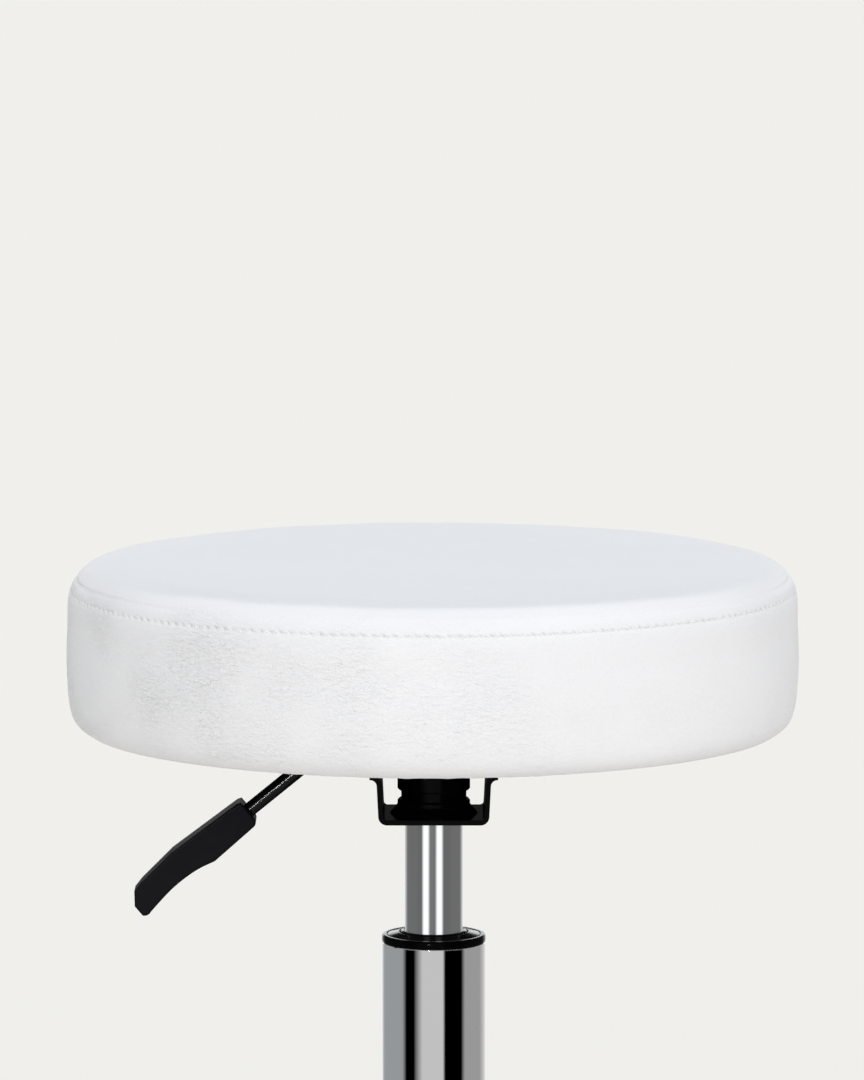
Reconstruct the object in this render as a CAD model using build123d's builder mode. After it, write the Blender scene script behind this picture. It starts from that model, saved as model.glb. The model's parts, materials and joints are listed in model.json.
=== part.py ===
"""Rolling stylist stool: round padded seat on a gas lift, five-star base, twin-wheel casters.

Millimetres, +Z up, origin on the floor under the column axis.
The release lever points along -X. The seat bracket's open ends face -Y and +Y.
"""

from build123d import *
import math
import os

os.makedirs("parts", exist_ok=True)

# ---------------------------------------------------------------- driving dimensions
# seat
seat_bottom = 415.0        # underside of the upholstery at the rest height
seat_thick = 81.5          # underside to the flat of the top panel
seat_top = seat_bottom + seat_thick
seat_r = 177.0             # widest radius of the padded side band
seat_flat_r = 160.0        # radius of the flat of the top panel
belly_z = 447.0            # height of the widest radius
upper_side_z = 468.0       # side band station between the belly and the seam
seam_z = 483.5             # sewn joint between top panel and side band
seam_r = 174.0
cover_t = 1.5              # coated fabric with its backing
hem_r = 140.0              # inner edge of the hem turned under the board
board_r = 165.0
board_top = seat_bottom + 13.5
nut_flange_low = seat_bottom + 12.0
dust_low = seat_bottom - 0.75
staple_circle = 149.0
staple_count = 36
staple_w = 1.1
staple_span = 10.0

# seat plate, bracket and hub
plate_w = 150.0
plate_t = 2.5
bolt_pitch = 120.0
washer_t = 1.6
bolt_head_h = 5.3
plate_top = seat_bottom - 0.8
plate_low = plate_top - plate_t
bolt_seat = plate_low - washer_t   # top of the bolt heads
dish_low = seat_bottom - 19.1
strap_w = 50.0             # bracket width along Y
strap_t = 2.5
strap_low = seat_bottom - 43.7
hub_low = strap_low
hub_top = seat_bottom - 19.0
hub_neck_r = 15.8
hub_hole_r = hub_neck_r + 0.05     # holes in the plate and the bracket

# release lever
pivot_x = -26.0
pivot_r = 2.0
lever_z = seat_bottom - 11.5
lever_start_x = -18.0
rod_r = 3.5
lever_slope = math.radians(39.2)   # below horizontal beyond the bend
rod_bend_r = 12.0
grip_x, grip_z = -89.4, 375.1      # where the rod enters the grip
grip_depth = 18.0                  # rod length buried in the grip
bore_lead = 12.0                   # the grip's bore starts this far before the entry
handle_half = 9.0                  # half the grip's width
slot_low, slot_high = 399.2, 411.4 # lever slot in the dish wall

# gas lift
run = 0.06                 # radial running clearance
cyl_r = 14.0
cyl_in = 12.0
cyl_low = 140.0
cyl_top = seat_bottom - 20.0
taper_start = seat_bottom - 44.0
taper_top_r = 13.35
plug_r = cyl_in - 0.03     # valve body and gland inside the cylinder
button_r = 4.0
piston_rod_r = 5.0
piston_low = 261.0         # shoulder under the piston head
piston_r = cyl_in - 0.1
piston_bore_r = 3.62
clip_groove_low, clip_groove_high = 61.0, 62.6

# outer column
col_r = 25.0
col_in = 23.1
col_low = 64.0
col_floor_t = 3.0
col_top = 310.5
col_foot_r = 24.1
hub_mouth = 118.0          # top of the column's tapered foot

# thrust bearing and bumper
ball_r = 2.5
ball_z = 72.05
ball_circle = 10.2
ball_gap = 0.07            # ball to race
race_r = 14.5
race_top = 77.0

# base
base_low = 60.0
base_hub_top = 121.6
press = 0.02               # radial gap in pressed joints
stem_circle = 205.0
stem_r = 5.5
spindle_r = 4.0
leg_angles = [18.0 + 72.0 * leg for leg in range(5)]

# casters
trail_angles = [52.0, 128.0, 205.0, 200.0, 338.0]
caster_trail = 19.0        # swivel axis to axle, horizontally
wheel_r = 25.0
axle_r = 3.0
axle_head_r = 4.9
wheel_in, wheel_out = 8.6, 22.4    # distances from the caster's middle plane
hood_low = 20.5            # lower edge of fender and web
fender_r, fender_in = 28.8, 26.3
fender_half = 23.4
web_half = 8.0


# ---------------------------------------------------------------- helpers
def write(piece, name):
    piece.part.label = name
    export_step(piece.part, f"parts/{name}.step")


def turn(name, outline):
    """Revolve a closed outline of (radius, height) points about the column axis."""
    with BuildPart() as piece:
        with BuildSketch(Plane.XZ):
            with BuildLine():
                Polyline(*outline, close=True)
            make_face()
        revolve(axis=Axis.Z)
    write(piece, name)


def on_circle(radius, degrees):
    angle = math.radians(degrees)
    return radius * math.cos(angle), radius * math.sin(angle)


def plane_along(x, y, degrees):
    """Upright plane from the floor: local x runs along the heading, local y is up."""
    cos, sin = on_circle(1.0, degrees)
    return Plane(origin=(x, y, 0), x_dir=(cos, sin, 0), z_dir=(sin, -cos, 0))


def plane_across(x, y, z, degrees):
    """Upright plane facing along the heading: local x runs to its left, local y is up."""
    cos, sin = on_circle(1.0, degrees)
    return Plane(origin=(x, y, z), x_dir=(-sin, cos, 0), z_dir=(cos, sin, 0))


def vertical_axis(x, y):
    return Axis((x, y, 0), (0, 0, 1))


# ================================================================= SEAT
def draw_pad_outline(low, foot_r, foot_mid, side_foot, belly_r, upper_r, seam, shoulder_mid, top):
    """Draw half the pad's section into the open BuildLine, points as (radius, height)."""
    Line((0, low), (foot_r, low))
    ThreePointArc((foot_r, low), foot_mid, side_foot)
    Spline(side_foot, (belly_r, belly_z), (upper_r, upper_side_z), seam,
           tangents=((0.12, 1.0), (-0.22, 1.0)))
    ThreePointArc(seam, shoulder_mid, (seat_flat_r, top))
    Line((seat_flat_r, top), (0, top))
    Line((0, top), (0, low))


# upholstery: top panel, side band and turned-under hem in one skin
with BuildPart() as seat_cover:
    with BuildSketch(Plane.XZ):
        with BuildLine():
            draw_pad_outline(
                low=seat_bottom, foot_r=166.0,
                foot_mid=(173.0, seat_bottom + 3.0), side_foot=(175.8, seat_bottom + 10),
                belly_r=seat_r, upper_r=176.0, seam=(seam_r, seam_z),
                shoulder_mid=(170.6, 492.7), top=seat_top)
        make_face()
    revolve(axis=Axis.Z)
    with BuildSketch(Plane.XZ):
        with BuildLine():
            draw_pad_outline(
                low=seat_bottom + cover_t, foot_r=165.6,
                foot_mid=(171.9, seat_bottom + 4.2), side_foot=(174.3, seat_bottom + 10),
                belly_r=seat_r - cover_t, upper_r=174.5, seam=(seam_r - cover_t, seam_z - 0.3),
                shoulder_mid=(169.35, 491.6), top=seat_top - cover_t)
        make_face()
    revolve(axis=Axis.Z, mode=Mode.SUBTRACT)
    with BuildSketch(Plane.XY.offset(seat_bottom - 1)):
        Circle(hem_r)
    extrude(amount=cover_t + 1.5, mode=Mode.SUBTRACT)
write(seat_cover, "seat_cover")

# moulded foam pad, wrapped a little way down the board's edge
with BuildPart() as seat_foam:
    with BuildSketch(Plane.XZ):
        with BuildLine():
            draw_pad_outline(
                low=seat_bottom + 3, foot_r=168.0,
                foot_mid=(172.0, seat_bottom + 5.4), side_foot=(174.1, seat_bottom + 11),
                belly_r=seat_r - cover_t - 0.2, upper_r=174.3,
                seam=(seam_r - cover_t - 0.25, seam_z - 0.3),
                shoulder_mid=(169.1, 491.3), top=seat_top - cover_t - 0.2)
        make_face()
    revolve(axis=Axis.Z)
    with BuildSketch(Plane.XY.offset(seat_bottom)):
        Circle(board_r + 0.2)
    extrude(amount=board_top - seat_bottom + 0.05, mode=Mode.SUBTRACT)
write(seat_foam, "seat_foam")

# plywood board with a rabbet for the hem and counterbored nut holes
rabbet_r = hem_r - 1
rabbet_z = seat_bottom + 1.6
with BuildPart() as seat_board:
    with BuildSketch(Plane.XZ):
        with BuildLine():
            Polyline((0, seat_bottom), (rabbet_r, seat_bottom), (rabbet_r, rabbet_z),
                     (board_r, rabbet_z), (board_r, board_top), (0, board_top), close=True)
        make_face()
    revolve(axis=Axis.Z)
    with Locations(Plane.XY.offset(board_top)):
        with GridLocations(bolt_pitch, bolt_pitch, 2, 2):
            CounterBoreHole(radius=5.1, counter_bore_radius=10.3, counter_bore_depth=1.6, depth=20)
write(seat_board, "seat_board")

# four tee nuts pressed in from the top of the board: flange, barrel, bore
with BuildPart() as tee_nuts:
    with BuildSketch(Plane.XY.offset(nut_flange_low)):
        with GridLocations(bolt_pitch, bolt_pitch, 2, 2):
            Circle(10.0)
    extrude(amount=1.45)
    with BuildSketch(Plane.XY.offset(seat_bottom + 2.0)):
        with GridLocations(bolt_pitch, bolt_pitch, 2, 2):
            Circle(5.0)
    extrude(amount=10.5)
    with BuildSketch(Plane.XY.offset(seat_bottom + 1.0)):
        with GridLocations(bolt_pitch, bolt_pitch, 2, 2):
            Circle(4.02)
    extrude(amount=14, mode=Mode.SUBTRACT)
write(tee_nuts, "tee_nuts")

# non-woven dust cover under the board, open over the dish and the bolts
with BuildPart() as dust_cover:
    with BuildSketch(Plane.XY.offset(dust_low)):
        Circle(155.0)
        RectangleRounded(108, 78, 12, mode=Mode.SUBTRACT)
        with GridLocations(bolt_pitch, bolt_pitch, 2, 2):
            Circle(5.2, mode=Mode.SUBTRACT)
    extrude(amount=0.7)
write(dust_cover, "dust_cover")

# wire staples through dust cover and hem into the board: crowns, then legs
with BuildPart() as hem_staples:
    with BuildSketch(Plane.XY.offset(dust_low - 0.75)):
        with PolarLocations(staple_circle, staple_count):
            Rectangle(staple_w, staple_span)
    extrude(amount=0.75)
    with BuildSketch(Plane.XY.offset(seat_bottom - 0.8)):
        with PolarLocations(staple_circle, staple_count):
            with Locations((0, 4.5), (0, -4.5)):
                Rectangle(staple_w, 1.0)
    extrude(amount=7.0)
write(hem_staples, "hem_staples")

# pressed steel seat plate
with BuildPart() as seat_plate:
    # flange
    with BuildSketch(Plane.XY.offset(plate_low)):
        RectangleRounded(plate_w, plate_w, 20)
    extrude(amount=plate_t)
    # sunk dish, outside then inside
    with BuildSketch(Plane.XY.offset(dish_low)):
        RectangleRounded(84, 54, 9)
    with BuildSketch(Plane.XY.offset(plate_top)):
        RectangleRounded(106, 76, 11)
    loft()
    with BuildSketch(Plane.XY.offset(dish_low + plate_t)):
        RectangleRounded(80, 50, 7)
    with BuildSketch(Plane.XY.offset(plate_top)):
        RectangleRounded(100.5, 70.5, 9)
    loft(mode=Mode.SUBTRACT)
    # holes for the hub and the bolts
    with BuildSketch(Plane.XY.offset(dish_low - 1)):
        Circle(hub_hole_r)
    extrude(amount=5, mode=Mode.SUBTRACT)
    with BuildSketch(Plane.XY.offset(plate_low - 1)):
        with GridLocations(bolt_pitch, bolt_pitch, 2, 2):
            Circle(4.5)
    extrude(amount=5, mode=Mode.SUBTRACT)
    # lever slot through the -X wall of the dish
    with BuildSketch(Plane.XZ):
        with Locations((-47, (slot_low + slot_high) / 2)):
            Rectangle(24, slot_high - slot_low)
    extrude(amount=4.8, both=True, mode=Mode.SUBTRACT)
    # a pivot ear on each side of the lever
    for side in (-1, 1):
        with BuildSketch(Plane.XZ.offset(side * 5.85)):
            with BuildLine():
                Polyline((pivot_x - 6, dish_low + 1.5), (pivot_x + 6, dish_low + 1.5),
                         (pivot_x + 4.4, lever_z), (pivot_x + 4.4, lever_z + 4.4),
                         (pivot_x - 4.4, lever_z + 4.4), (pivot_x - 4.4, lever_z), close=True)
            make_face()
            with Locations((pivot_x, lever_z)):
                Circle(pivot_r + 0.03, mode=Mode.SUBTRACT)
        extrude(amount=1.1, both=True)
write(seat_plate, "seat_plate")

# U-shaped strap bracket welded under the dish, traced along its mid-line
strap_high_z = dish_low - 1.27
strap_low_z = strap_low + strap_t / 2
with BuildPart() as u_bracket:
    with BuildSketch(Plane.XZ):
        with BuildLine() as strap_path:
            strap = Polyline((31.0, strap_high_z), (26.5, strap_high_z), (25.4, strap_low_z),
                             (-25.4, strap_low_z), (-26.5, strap_high_z), (-31.0, strap_high_z))
            fillet([v for v in strap.vertices() if 26 < abs(v.X) < 27], 4.4)
            fillet([v for v in strap_path.vertices()
                    if 25 < abs(v.X) < 25.8 and v.Y < strap_low + 2], 3.0)
        trace(line_width=strap_t)
    extrude(amount=strap_w / 2, both=True)
    with BuildSketch(Plane.XY.offset(strap_low - 1)):
        Circle(hub_hole_r)
    extrude(amount=5, mode=Mode.SUBTRACT)
write(u_bracket, "u_bracket")

# tapered hub socket with weld collars
turn("hub_socket", [
    (14.04, hub_low), (hub_neck_r, hub_low), (hub_neck_r, strap_low + 2.55),
    (21.2, strap_low + 2.55), (20.6, strap_low + 3.4), (17.6, 378.2), (17.6, 380.0),
    (16.9, 380.8), (hub_neck_r, 380.9), (hub_neck_r, 385.2), (16.9, 385.3), (17.6, 386.0),
    (17.6, dish_low - 0.1), (hub_neck_r, dish_low - 0.1), (hub_neck_r, hub_top),
    (13.36, hub_top)])

# four hex bolts up through the plate into the tee nuts
with BuildPart() as seat_bolts:
    with BuildSketch(Plane.XY.offset(bolt_seat - bolt_head_h)):
        with GridLocations(bolt_pitch, bolt_pitch, 2, 2):
            RegularPolygon(7.5, 6)
    extrude(amount=bolt_head_h)
    chamfer(seat_bolts.faces().sort_by(Axis.Z)[:4].edges(), 0.6)
    with BuildSketch(Plane.XY.offset(bolt_seat)):
        with GridLocations(bolt_pitch, bolt_pitch, 2, 2):
            Circle(3.95)
    extrude(amount=16.0)
write(seat_bolts, "seat_bolts")

# washers, clear of head and plate by 0.02 on each face
with BuildPart() as bolt_washers:
    with BuildSketch(Plane.XY.offset(bolt_seat + 0.02)):
        with GridLocations(bolt_pitch, bolt_pitch, 2, 2):
            Circle(8.2)
            Circle(4.2, mode=Mode.SUBTRACT)
    extrude(amount=washer_t - 0.04)
write(bolt_washers, "bolt_washers")

# pin the lever rocks on: shank, head at -Y, peened end at +Y
with BuildPart() as lever_pivot_pin:
    with BuildSketch(Plane.XZ):
        with Locations((pivot_x, lever_z)):
            Circle(pivot_r)
    extrude(amount=8.4, both=True)
    with BuildSketch(Plane.XZ.offset(7.0)):
        with Locations((pivot_x, lever_z)):
            Circle(3.3)
    extrude(amount=1.4)
    with BuildSketch(Plane.XZ.offset(-7.0)):
        with Locations((pivot_x, lever_z)):
            Circle(3.0)
    extrude(amount=-1.0)
write(lever_pivot_pin, "lever_pivot_pin")

# ================================================================= LEVER
slope_cos, slope_sin = math.cos(lever_slope), math.sin(lever_slope)
rod_end = (grip_x - grip_depth * slope_cos, grip_z - grip_depth * slope_sin)
rod_bend = (grip_x + (lever_z - grip_z) / math.tan(lever_slope), lever_z)

with BuildPart() as lever_rod:
    with BuildLine(Plane.XZ) as rod_path:
        Polyline((lever_start_x, lever_z), rod_bend, rod_end)
        fillet(rod_path.vertices().sort_by(Axis.X)[1:2], rod_bend_r)
    with BuildSketch(Plane(origin=(lever_start_x, 0, lever_z), z_dir=(-1, 0, 0))):
        Circle(rod_r)
    sweep()
    # flattened tongue over the release button
    with BuildSketch(Plane.XY.offset(lever_z - 2.5)):
        with Locations((-7.5, 0)):
            RectangleRounded(27, 9, 3.5)
    extrude(amount=5.0)
    # pivot barrel and its bore
    with BuildSketch(Plane.XZ):
        with Locations((pivot_x, lever_z)):
            Circle(4.3)
    extrude(amount=4.5, both=True)
    with BuildSketch(Plane.XZ):
        with Locations((pivot_x, lever_z)):
            Circle(pivot_r + run)
    extrude(amount=8, both=True, mode=Mode.SUBTRACT)
write(lever_rod, "lever_rod")

# moulded paddle grip, bent down at its tip; outline points are (x, z)
with BuildPart() as lever_handle:
    with BuildSketch(Plane.XZ):
        with BuildLine():
            # upper edge and tip
            Polyline((-93.4, 379.9), (-95.4, 379.2), (-126.8, 355.7), (-141.8, 340.7),
                     (-145.2, 336.3), (-145.0, 328.9), (-141.2, 324.4))
            # underside, back to the rod end
            ThreePointArc((-141.2, 324.4), (-139.0, 324.5), (-137.2, 326.1))
            Spline((-137.2, 326.1), (-133.9, 329.9), (-128.6, 335.7), (-120.1, 343.1),
                   (-111.4, 348.6), (-105.9, 351.2), tangents=((0.62, 0.78), (0.88, 0.47)))
            Line((-105.9, 351.2), (-87.4, 367.6))
            ThreePointArc((-87.4, 367.6), (-86.2, 369.6), (-86.7, 372.0))
            Line((-86.7, 372.0), (-93.4, 379.9))
        make_face()
    extrude(amount=handle_half, both=True)
    long_edges = lever_handle.edges().filter_by(
        lambda e: abs(abs(e.center().Y) - handle_half) < 0.01)
    fillet(long_edges, 1.1)
    # blind bore for the rod
    with BuildSketch(Plane(origin=(grip_x + bore_lead * slope_cos, 0,
                                   grip_z + bore_lead * slope_sin),
                           z_dir=(-slope_cos, 0, -slope_sin))):
        Circle(rod_r + 0.03)
    extrude(amount=bore_lead + grip_depth + 1.0, mode=Mode.SUBTRACT)
write(lever_handle, "lever_handle")

# ================================================================= GAS LIFT
button_bore = button_r + run
turn("gas_cylinder", [
    (cyl_in, cyl_low), (cyl_r - 0.8, cyl_low), (cyl_r, cyl_low + 0.8), (cyl_r, taper_start),
    (taper_top_r, cyl_top - 0.8), (taper_top_r - 0.8, cyl_top), (button_bore, cyl_top),
    (button_bore, cyl_top - 4), (cyl_in, cyl_top - 4)])

# the outer groove and the narrow lower bore are part of the outline
turn("valve_body", [
    (button_bore, cyl_top - 4.05), (plug_r, cyl_top - 4.05), (plug_r, cyl_top - 14),
    (cyl_in - 1.2, cyl_top - 15), (cyl_in - 1.2, cyl_top - 19), (plug_r, cyl_top - 20),
    (plug_r, cyl_top - 44), (2.2, cyl_top - 44), (2.2, cyl_top - 34),
    (button_bore, cyl_top - 34)])

turn("release_button", [
    (0, 372.0), (3.2, 372.0), (button_r, 372.8), (button_r, 399.2), (3.6, 399.8),
    (2.6, 400.25), (1.4, 400.4), (0, 400.4)])

gland_bore = piston_rod_r + run
turn("rod_gland", [
    (gland_bore, cyl_low + 0.5), (plug_r, cyl_low + 0.5), (plug_r, cyl_low + 6),
    (cyl_in - 1.0, cyl_low + 7), (cyl_in - 1.0, cyl_low + 9), (plug_r, cyl_low + 10),
    (plug_r, cyl_low + 18), (gland_bore, cyl_low + 18)])

# clip groove near the foot, reduced spigot for the piston head at the top
turn("piston_rod", [
    (0, 59.4), (4.4, 59.4), (piston_rod_r, 60.0), (piston_rod_r, clip_groove_low),
    (4.1, clip_groove_low), (4.1, clip_groove_high), (piston_rod_r, clip_groove_high),
    (piston_rod_r, piston_low), (3.6, piston_low), (3.6, 283.0), (0, 283.0)])

turn("piston_head", [
    (piston_bore_r, piston_low + 0.1), (piston_r, piston_low + 0.1), (piston_r, 268),
    (cyl_in - 1.6, 268), (cyl_in - 1.6, 272), (piston_r, 272), (piston_r, 279),
    (piston_bore_r, 279)])

upper_race_low = ball_z + ball_r + ball_gap
turn("bearing_upper_race", [
    (piston_rod_r + 0.02, upper_race_low), (14.0, upper_race_low), (race_r, 75.1),
    (race_r, race_top), (piston_rod_r + 0.02, race_top)])

lower_race_low = col_low + col_floor_t + 0.03
lower_race_top = ball_z - ball_r - ball_gap
turn("bearing_lower_race", [
    (6.2, lower_race_low), (race_r, lower_race_low), (race_r, 69.0), (14.0, lower_race_top),
    (6.2, lower_race_top)])

with BuildPart() as bearing_balls:
    with Locations((0, 0, ball_z)):
        with PolarLocations(ball_circle, 10):
            Sphere(ball_r)
write(bearing_balls, "bearing_balls")

bumper_bore = piston_rod_r + 0.05
turn("rubber_bumper", [
    (bumper_bore, race_top + 0.05), (12.0, race_top + 0.05), (12.6, 79), (11.2, 85.5),
    (12.4, 92), (11.6, 94.4), (bumper_bore, 94.4)])

# spring clip in the piston rod's groove, under the column's end wall, open towards +X
with BuildPart() as rod_clip:
    with BuildSketch(Plane.XY.offset(clip_groove_low + 0.2)):
        Circle(8.2)
        Circle(4.15, mode=Mode.SUBTRACT)
        with Locations((6, 0)):
            Rectangle(10, 5.6, mode=Mode.SUBTRACT)
    extrude(amount=1.2)
write(rod_clip, "rod_clip")

# ================================================================= COLUMN
col_foot_in = col_foot_r - 1.8
turn("outer_column", [
    (5.4, col_low), (col_foot_r - 0.6, col_low), (col_foot_r, col_low + 0.6),
    (col_r, hub_mouth), (col_r, col_top - 0.4), (col_r - 0.4, col_top), (col_in, col_top),
    (col_in, hub_mouth + 10), (col_foot_in, hub_mouth - 10),
    (col_foot_in, col_low + col_floor_t), (5.4, col_low + col_floor_t)])

# moulded guide sleeve with the collar that caps the column
guide_bore = cyl_r + run
guide_r = col_in - 0.04
guide_low = 235.0
with BuildPart() as guide_bushing:
    with BuildSketch(Plane.XZ):
        with BuildLine():
            # sleeve, waisted between its two bands
            Polyline((guide_bore, guide_low), (guide_r, guide_low), (guide_r, 247.0),
                     (17.2, 250.0), (17.2, 290.0), (guide_r, 294.0),
                     (guide_r, col_top + 0.04), (25.0, col_top + 0.04))
            # rounded collar rim
            ThreePointArc((25.0, col_top + 0.04), (25.2, col_top + 1.4), (25.1, col_top + 2.6))
            ThreePointArc((25.1, col_top + 2.6), (24.8, col_top + 3.5), (24.0, col_top + 3.8))
            # stepped collar top and the bore
            Polyline((24.0, col_top + 3.8), (23.1, col_top + 3.85), (22.95, col_top + 3.2),
                     (22.6, col_top + 3.2), (22.4, col_top + 3.75), (17.0, col_top + 4.95),
                     (16.8, col_top + 4.3), (16.3, col_top + 4.3), (16.0, col_top + 5.3),
                     (14.8, col_top + 5.6), (guide_bore, col_top + 5.0),
                     (guide_bore, guide_low))
        make_face()
    revolve(axis=Axis.Z)
write(guide_bushing, "guide_bushing")

# ================================================================= BASE
# station radius, underside height, width, height, top corner radius
leg_sections = [
    (20.0, 66.0, 50.0, 50.0, 13.0),
    (64.0, 65.0, 41.0, 42.5, 12.0),
    (130.0, 62.5, 32.5, 32.5, 10.5),
    (stem_circle, base_low, 27.0, 25.0, 8.5),
]
cavity_sections = [
    (39.0, 58.0, 40.0, 50.0, 10.5),
    (64.0, 58.0, 35.5, 46.5, 9.5),
    (130.0, 57.0, 27.0, 35.0, 8.0),
    (190.0, 56.0, 21.0, 27.6, 6.5),
]


def leg_trapezoid(width, height):
    """Section corners; the top is nine tenths of the bottom width."""
    return ((-width / 2, 0), (-width * 0.45, height), (width * 0.45, height), (width / 2, 0))


with BuildPart() as star_base:
    # hub
    with BuildSketch(Plane.XZ):
        with BuildLine():
            Polyline((0.0, base_low), (33.0, base_low), (35.0, base_low + 2), (33.5, 112))
            ThreePointArc((33.5, 112), (32.2, 118.2), (27.6, base_hub_top))
            Polyline((27.6, base_hub_top), (0, base_hub_top), (0, base_low))
        make_face()
    revolve(axis=Axis.Z)
    for angle in leg_angles:
        for station, low, width, height, corner_r in leg_sections:
            with BuildSketch(plane_across(*on_circle(station, angle), low, angle)) as leg_cut:
                with BuildLine():
                    Polyline(*leg_trapezoid(width, height), close=True)
                make_face()
                fillet(leg_cut.vertices().group_by(Axis.Y)[-1], corner_r)
        loft()
        # rounded tip around the stem socket
        stem_x, stem_y = on_circle(stem_circle, angle)
        with BuildSketch(plane_along(stem_x, stem_y, angle)):
            with BuildLine():
                Polyline((0, base_low), (13.5, base_low), (12.6, 76.8))
                ThreePointArc((12.6, 76.8), (10.0, 82.6), (4.2, 85.0))
                Polyline((4.2, 85.0), (0, 85.0), (0, base_low))
            make_face()
        revolve(axis=vertical_axis(stem_x, stem_y))
        # hollow underside
        for station, low, width, height, corner_r in cavity_sections:
            with BuildSketch(plane_across(*on_circle(station, angle), low, angle)) as cavity_cut:
                with BuildLine():
                    Polyline(*leg_trapezoid(width, height), close=True)
                make_face()
                fillet(cavity_cut.vertices().group_by(Axis.Y)[-1], corner_r)
        loft(mode=Mode.SUBTRACT)
    # stem sockets
    with BuildSketch(Plane.XY.offset(base_low - 1)):
        with PolarLocations(stem_circle, 5, start_angle=leg_angles[0]):
            Circle(stem_r + press)
    extrude(amount=19, mode=Mode.SUBTRACT)
    # tapered bore for the column
    with BuildSketch(Plane.XZ):
        with BuildLine():
            Polyline((0, base_low - 1), (col_foot_r + press, base_low - 1),
                     (col_foot_r + press, col_low + 0.6), (col_r + press, hub_mouth),
                     (col_r + press, base_hub_top - 1), (col_r + 1.1, base_hub_top + 0.1),
                     (0, base_hub_top + 0.1), close=True)
        make_face()
    revolve(axis=Axis.Z, mode=Mode.SUBTRACT)
write(star_base, "star_base")

# five grip stems pressed up into the leg sockets, each with the spindle its caster turns on;
# outline is (radius from the stem axis, height)
stem_outline = [
    (0, 38.0), (3.4, 38.0), (spindle_r, 38.6), (spindle_r, 58.45), (8.0, 58.45), (8.0, 59.98),
    (stem_r, 59.98), (stem_r, 70.0), (4.9, 70.4), (4.9, 72.6), (stem_r, 73.0), (stem_r, 76.0),
    (4.3, 77.4), (0, 77.4),
]
with BuildPart() as caster_stems:
    for angle in leg_angles:
        stem_x, stem_y = on_circle(stem_circle, angle)
        with BuildSketch(plane_along(stem_x, stem_y, angle)):
            with BuildLine():
                Polyline(*stem_outline, close=True)
            make_face()
        revolve(axis=vertical_axis(stem_x, stem_y))
write(caster_stems, "caster_stems")

# ================================================================= CASTERS
# (distance from the caster's middle plane, radius from the axle)
wheel_outline = [
    (wheel_in + 0.1, axle_r + 0.05), (wheel_in + 0.1, 7.0), (16.0, 7.4), (16.0, 18.2),
    (9.4, 18.8), (9.4, 21.98), (21.7, 21.98), (21.7, 19.2), (20.4, 18.2), (20.4, 7.6),
    (wheel_out - 0.3, 6.6), (wheel_out - 0.1, 6.0), (wheel_out - 0.1, axle_r + 0.05),
]


def build_hood(name, along, swivel_axis):
    """Fender over both wheels, web between them, boss on the spindle."""
    with BuildPart() as hood:
        with BuildSketch(along):
            with Locations((caster_trail, wheel_r)):
                Circle(fender_r)
                Circle(fender_in, mode=Mode.SUBTRACT)
            with Locations((caster_trail, hood_low - 20.5)):
                Rectangle(70, 41.0, mode=Mode.SUBTRACT)
        extrude(amount=fender_half, both=True)
        rim_edges = hood.edges().filter_by(GeomType.CIRCLE).filter_by(lambda e: e.radius > 28)
        fillet(rim_edges, 1.6)
        # web, with a round boss at the axle
        with BuildSketch(along):
            with Locations((caster_trail, wheel_r)):
                Circle(27.4)
            with Locations((caster_trail, hood_low - 25.0)):
                Rectangle(70, 50.0, mode=Mode.SUBTRACT)
            with Locations((caster_trail, wheel_r)):
                Circle(9.0)
        extrude(amount=web_half, both=True)
        # spindle boss and its bore
        with BuildSketch(along):
            with BuildLine():
                Polyline((0, 28.0), (7.0, 28.0), (8.0, 30.0), (8.0, 57.3), (7.2, 58.2),
                         (0, 58.2), close=True)
            make_face()
        revolve(axis=swivel_axis)
        with BuildSketch(along):
            with BuildLine():
                Polyline((0, 37.4), (spindle_r + 0.05, 37.4), (spindle_r + 0.05, 59), (0, 59),
                         close=True)
            make_face()
        revolve(axis=swivel_axis, mode=Mode.SUBTRACT)
        with BuildSketch(along):
            with Locations((caster_trail, wheel_r)):
                Circle(axle_r + press)
        extrude(amount=web_half + 1, both=True, mode=Mode.SUBTRACT)
    write(hood, name)


def build_axle(name, across, axle_axis):
    """Axle with a formed head at each end."""
    with BuildPart() as axle:
        with BuildSketch(across):
            with BuildLine():
                Line((-23.7, 0), (-23.7, 2.2))
                ThreePointArc((-23.7, 2.2), (-23.4, 3.9), (-22.5, axle_head_r))
                Polyline((-22.5, axle_head_r), (-22.5, axle_r), (22.5, axle_r),
                         (22.5, axle_head_r))
                ThreePointArc((22.5, axle_head_r), (23.4, 3.9), (23.7, 2.2))
                Polyline((23.7, 2.2), (23.7, 0), (-23.7, 0))
            make_face()
        revolve(axis=axle_axis)
    write(axle, name)


def build_wheel(name, across, axle_axis, sign):
    """Wheel with six shallow round pockets in its outer face."""
    outward = across.x_dir * sign
    with BuildPart() as wheel:
        with BuildSketch(across):
            with BuildLine():
                Polyline(*[(sign * x, radius) for x, radius in wheel_outline], close=True)
            make_face()
        revolve(axis=axle_axis)
        with BuildSketch(Plane(origin=across.origin + outward * 21, x_dir=across.z_dir,
                               z_dir=outward)):
            with PolarLocations(12.9, 6):
                Circle(2.9)
        extrude(amount=-2.0, mode=Mode.SUBTRACT)
    write(wheel, name)


def build_tread(name, across, axle_axis, sign):
    """Tyre band with rounded shoulders."""
    inner, outer = sign * 9.2, sign * 22.0
    with BuildPart() as tread:
        with BuildSketch(across):
            with BuildLine():
                Line((inner, 22.0), (inner, 23.0))
                ThreePointArc((inner, 23.0), (sign * 9.8, 24.4), (sign * 11.2, wheel_r))
                Line((sign * 11.2, wheel_r), (sign * 20.0, wheel_r))
                ThreePointArc((sign * 20.0, wheel_r), (sign * 21.4, 24.4), (outer, 23.0))
                Polyline((outer, 23.0), (outer, 22.0), (inner, 22.0))
            make_face()
        revolve(axis=axle_axis)
    write(tread, name)


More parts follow.
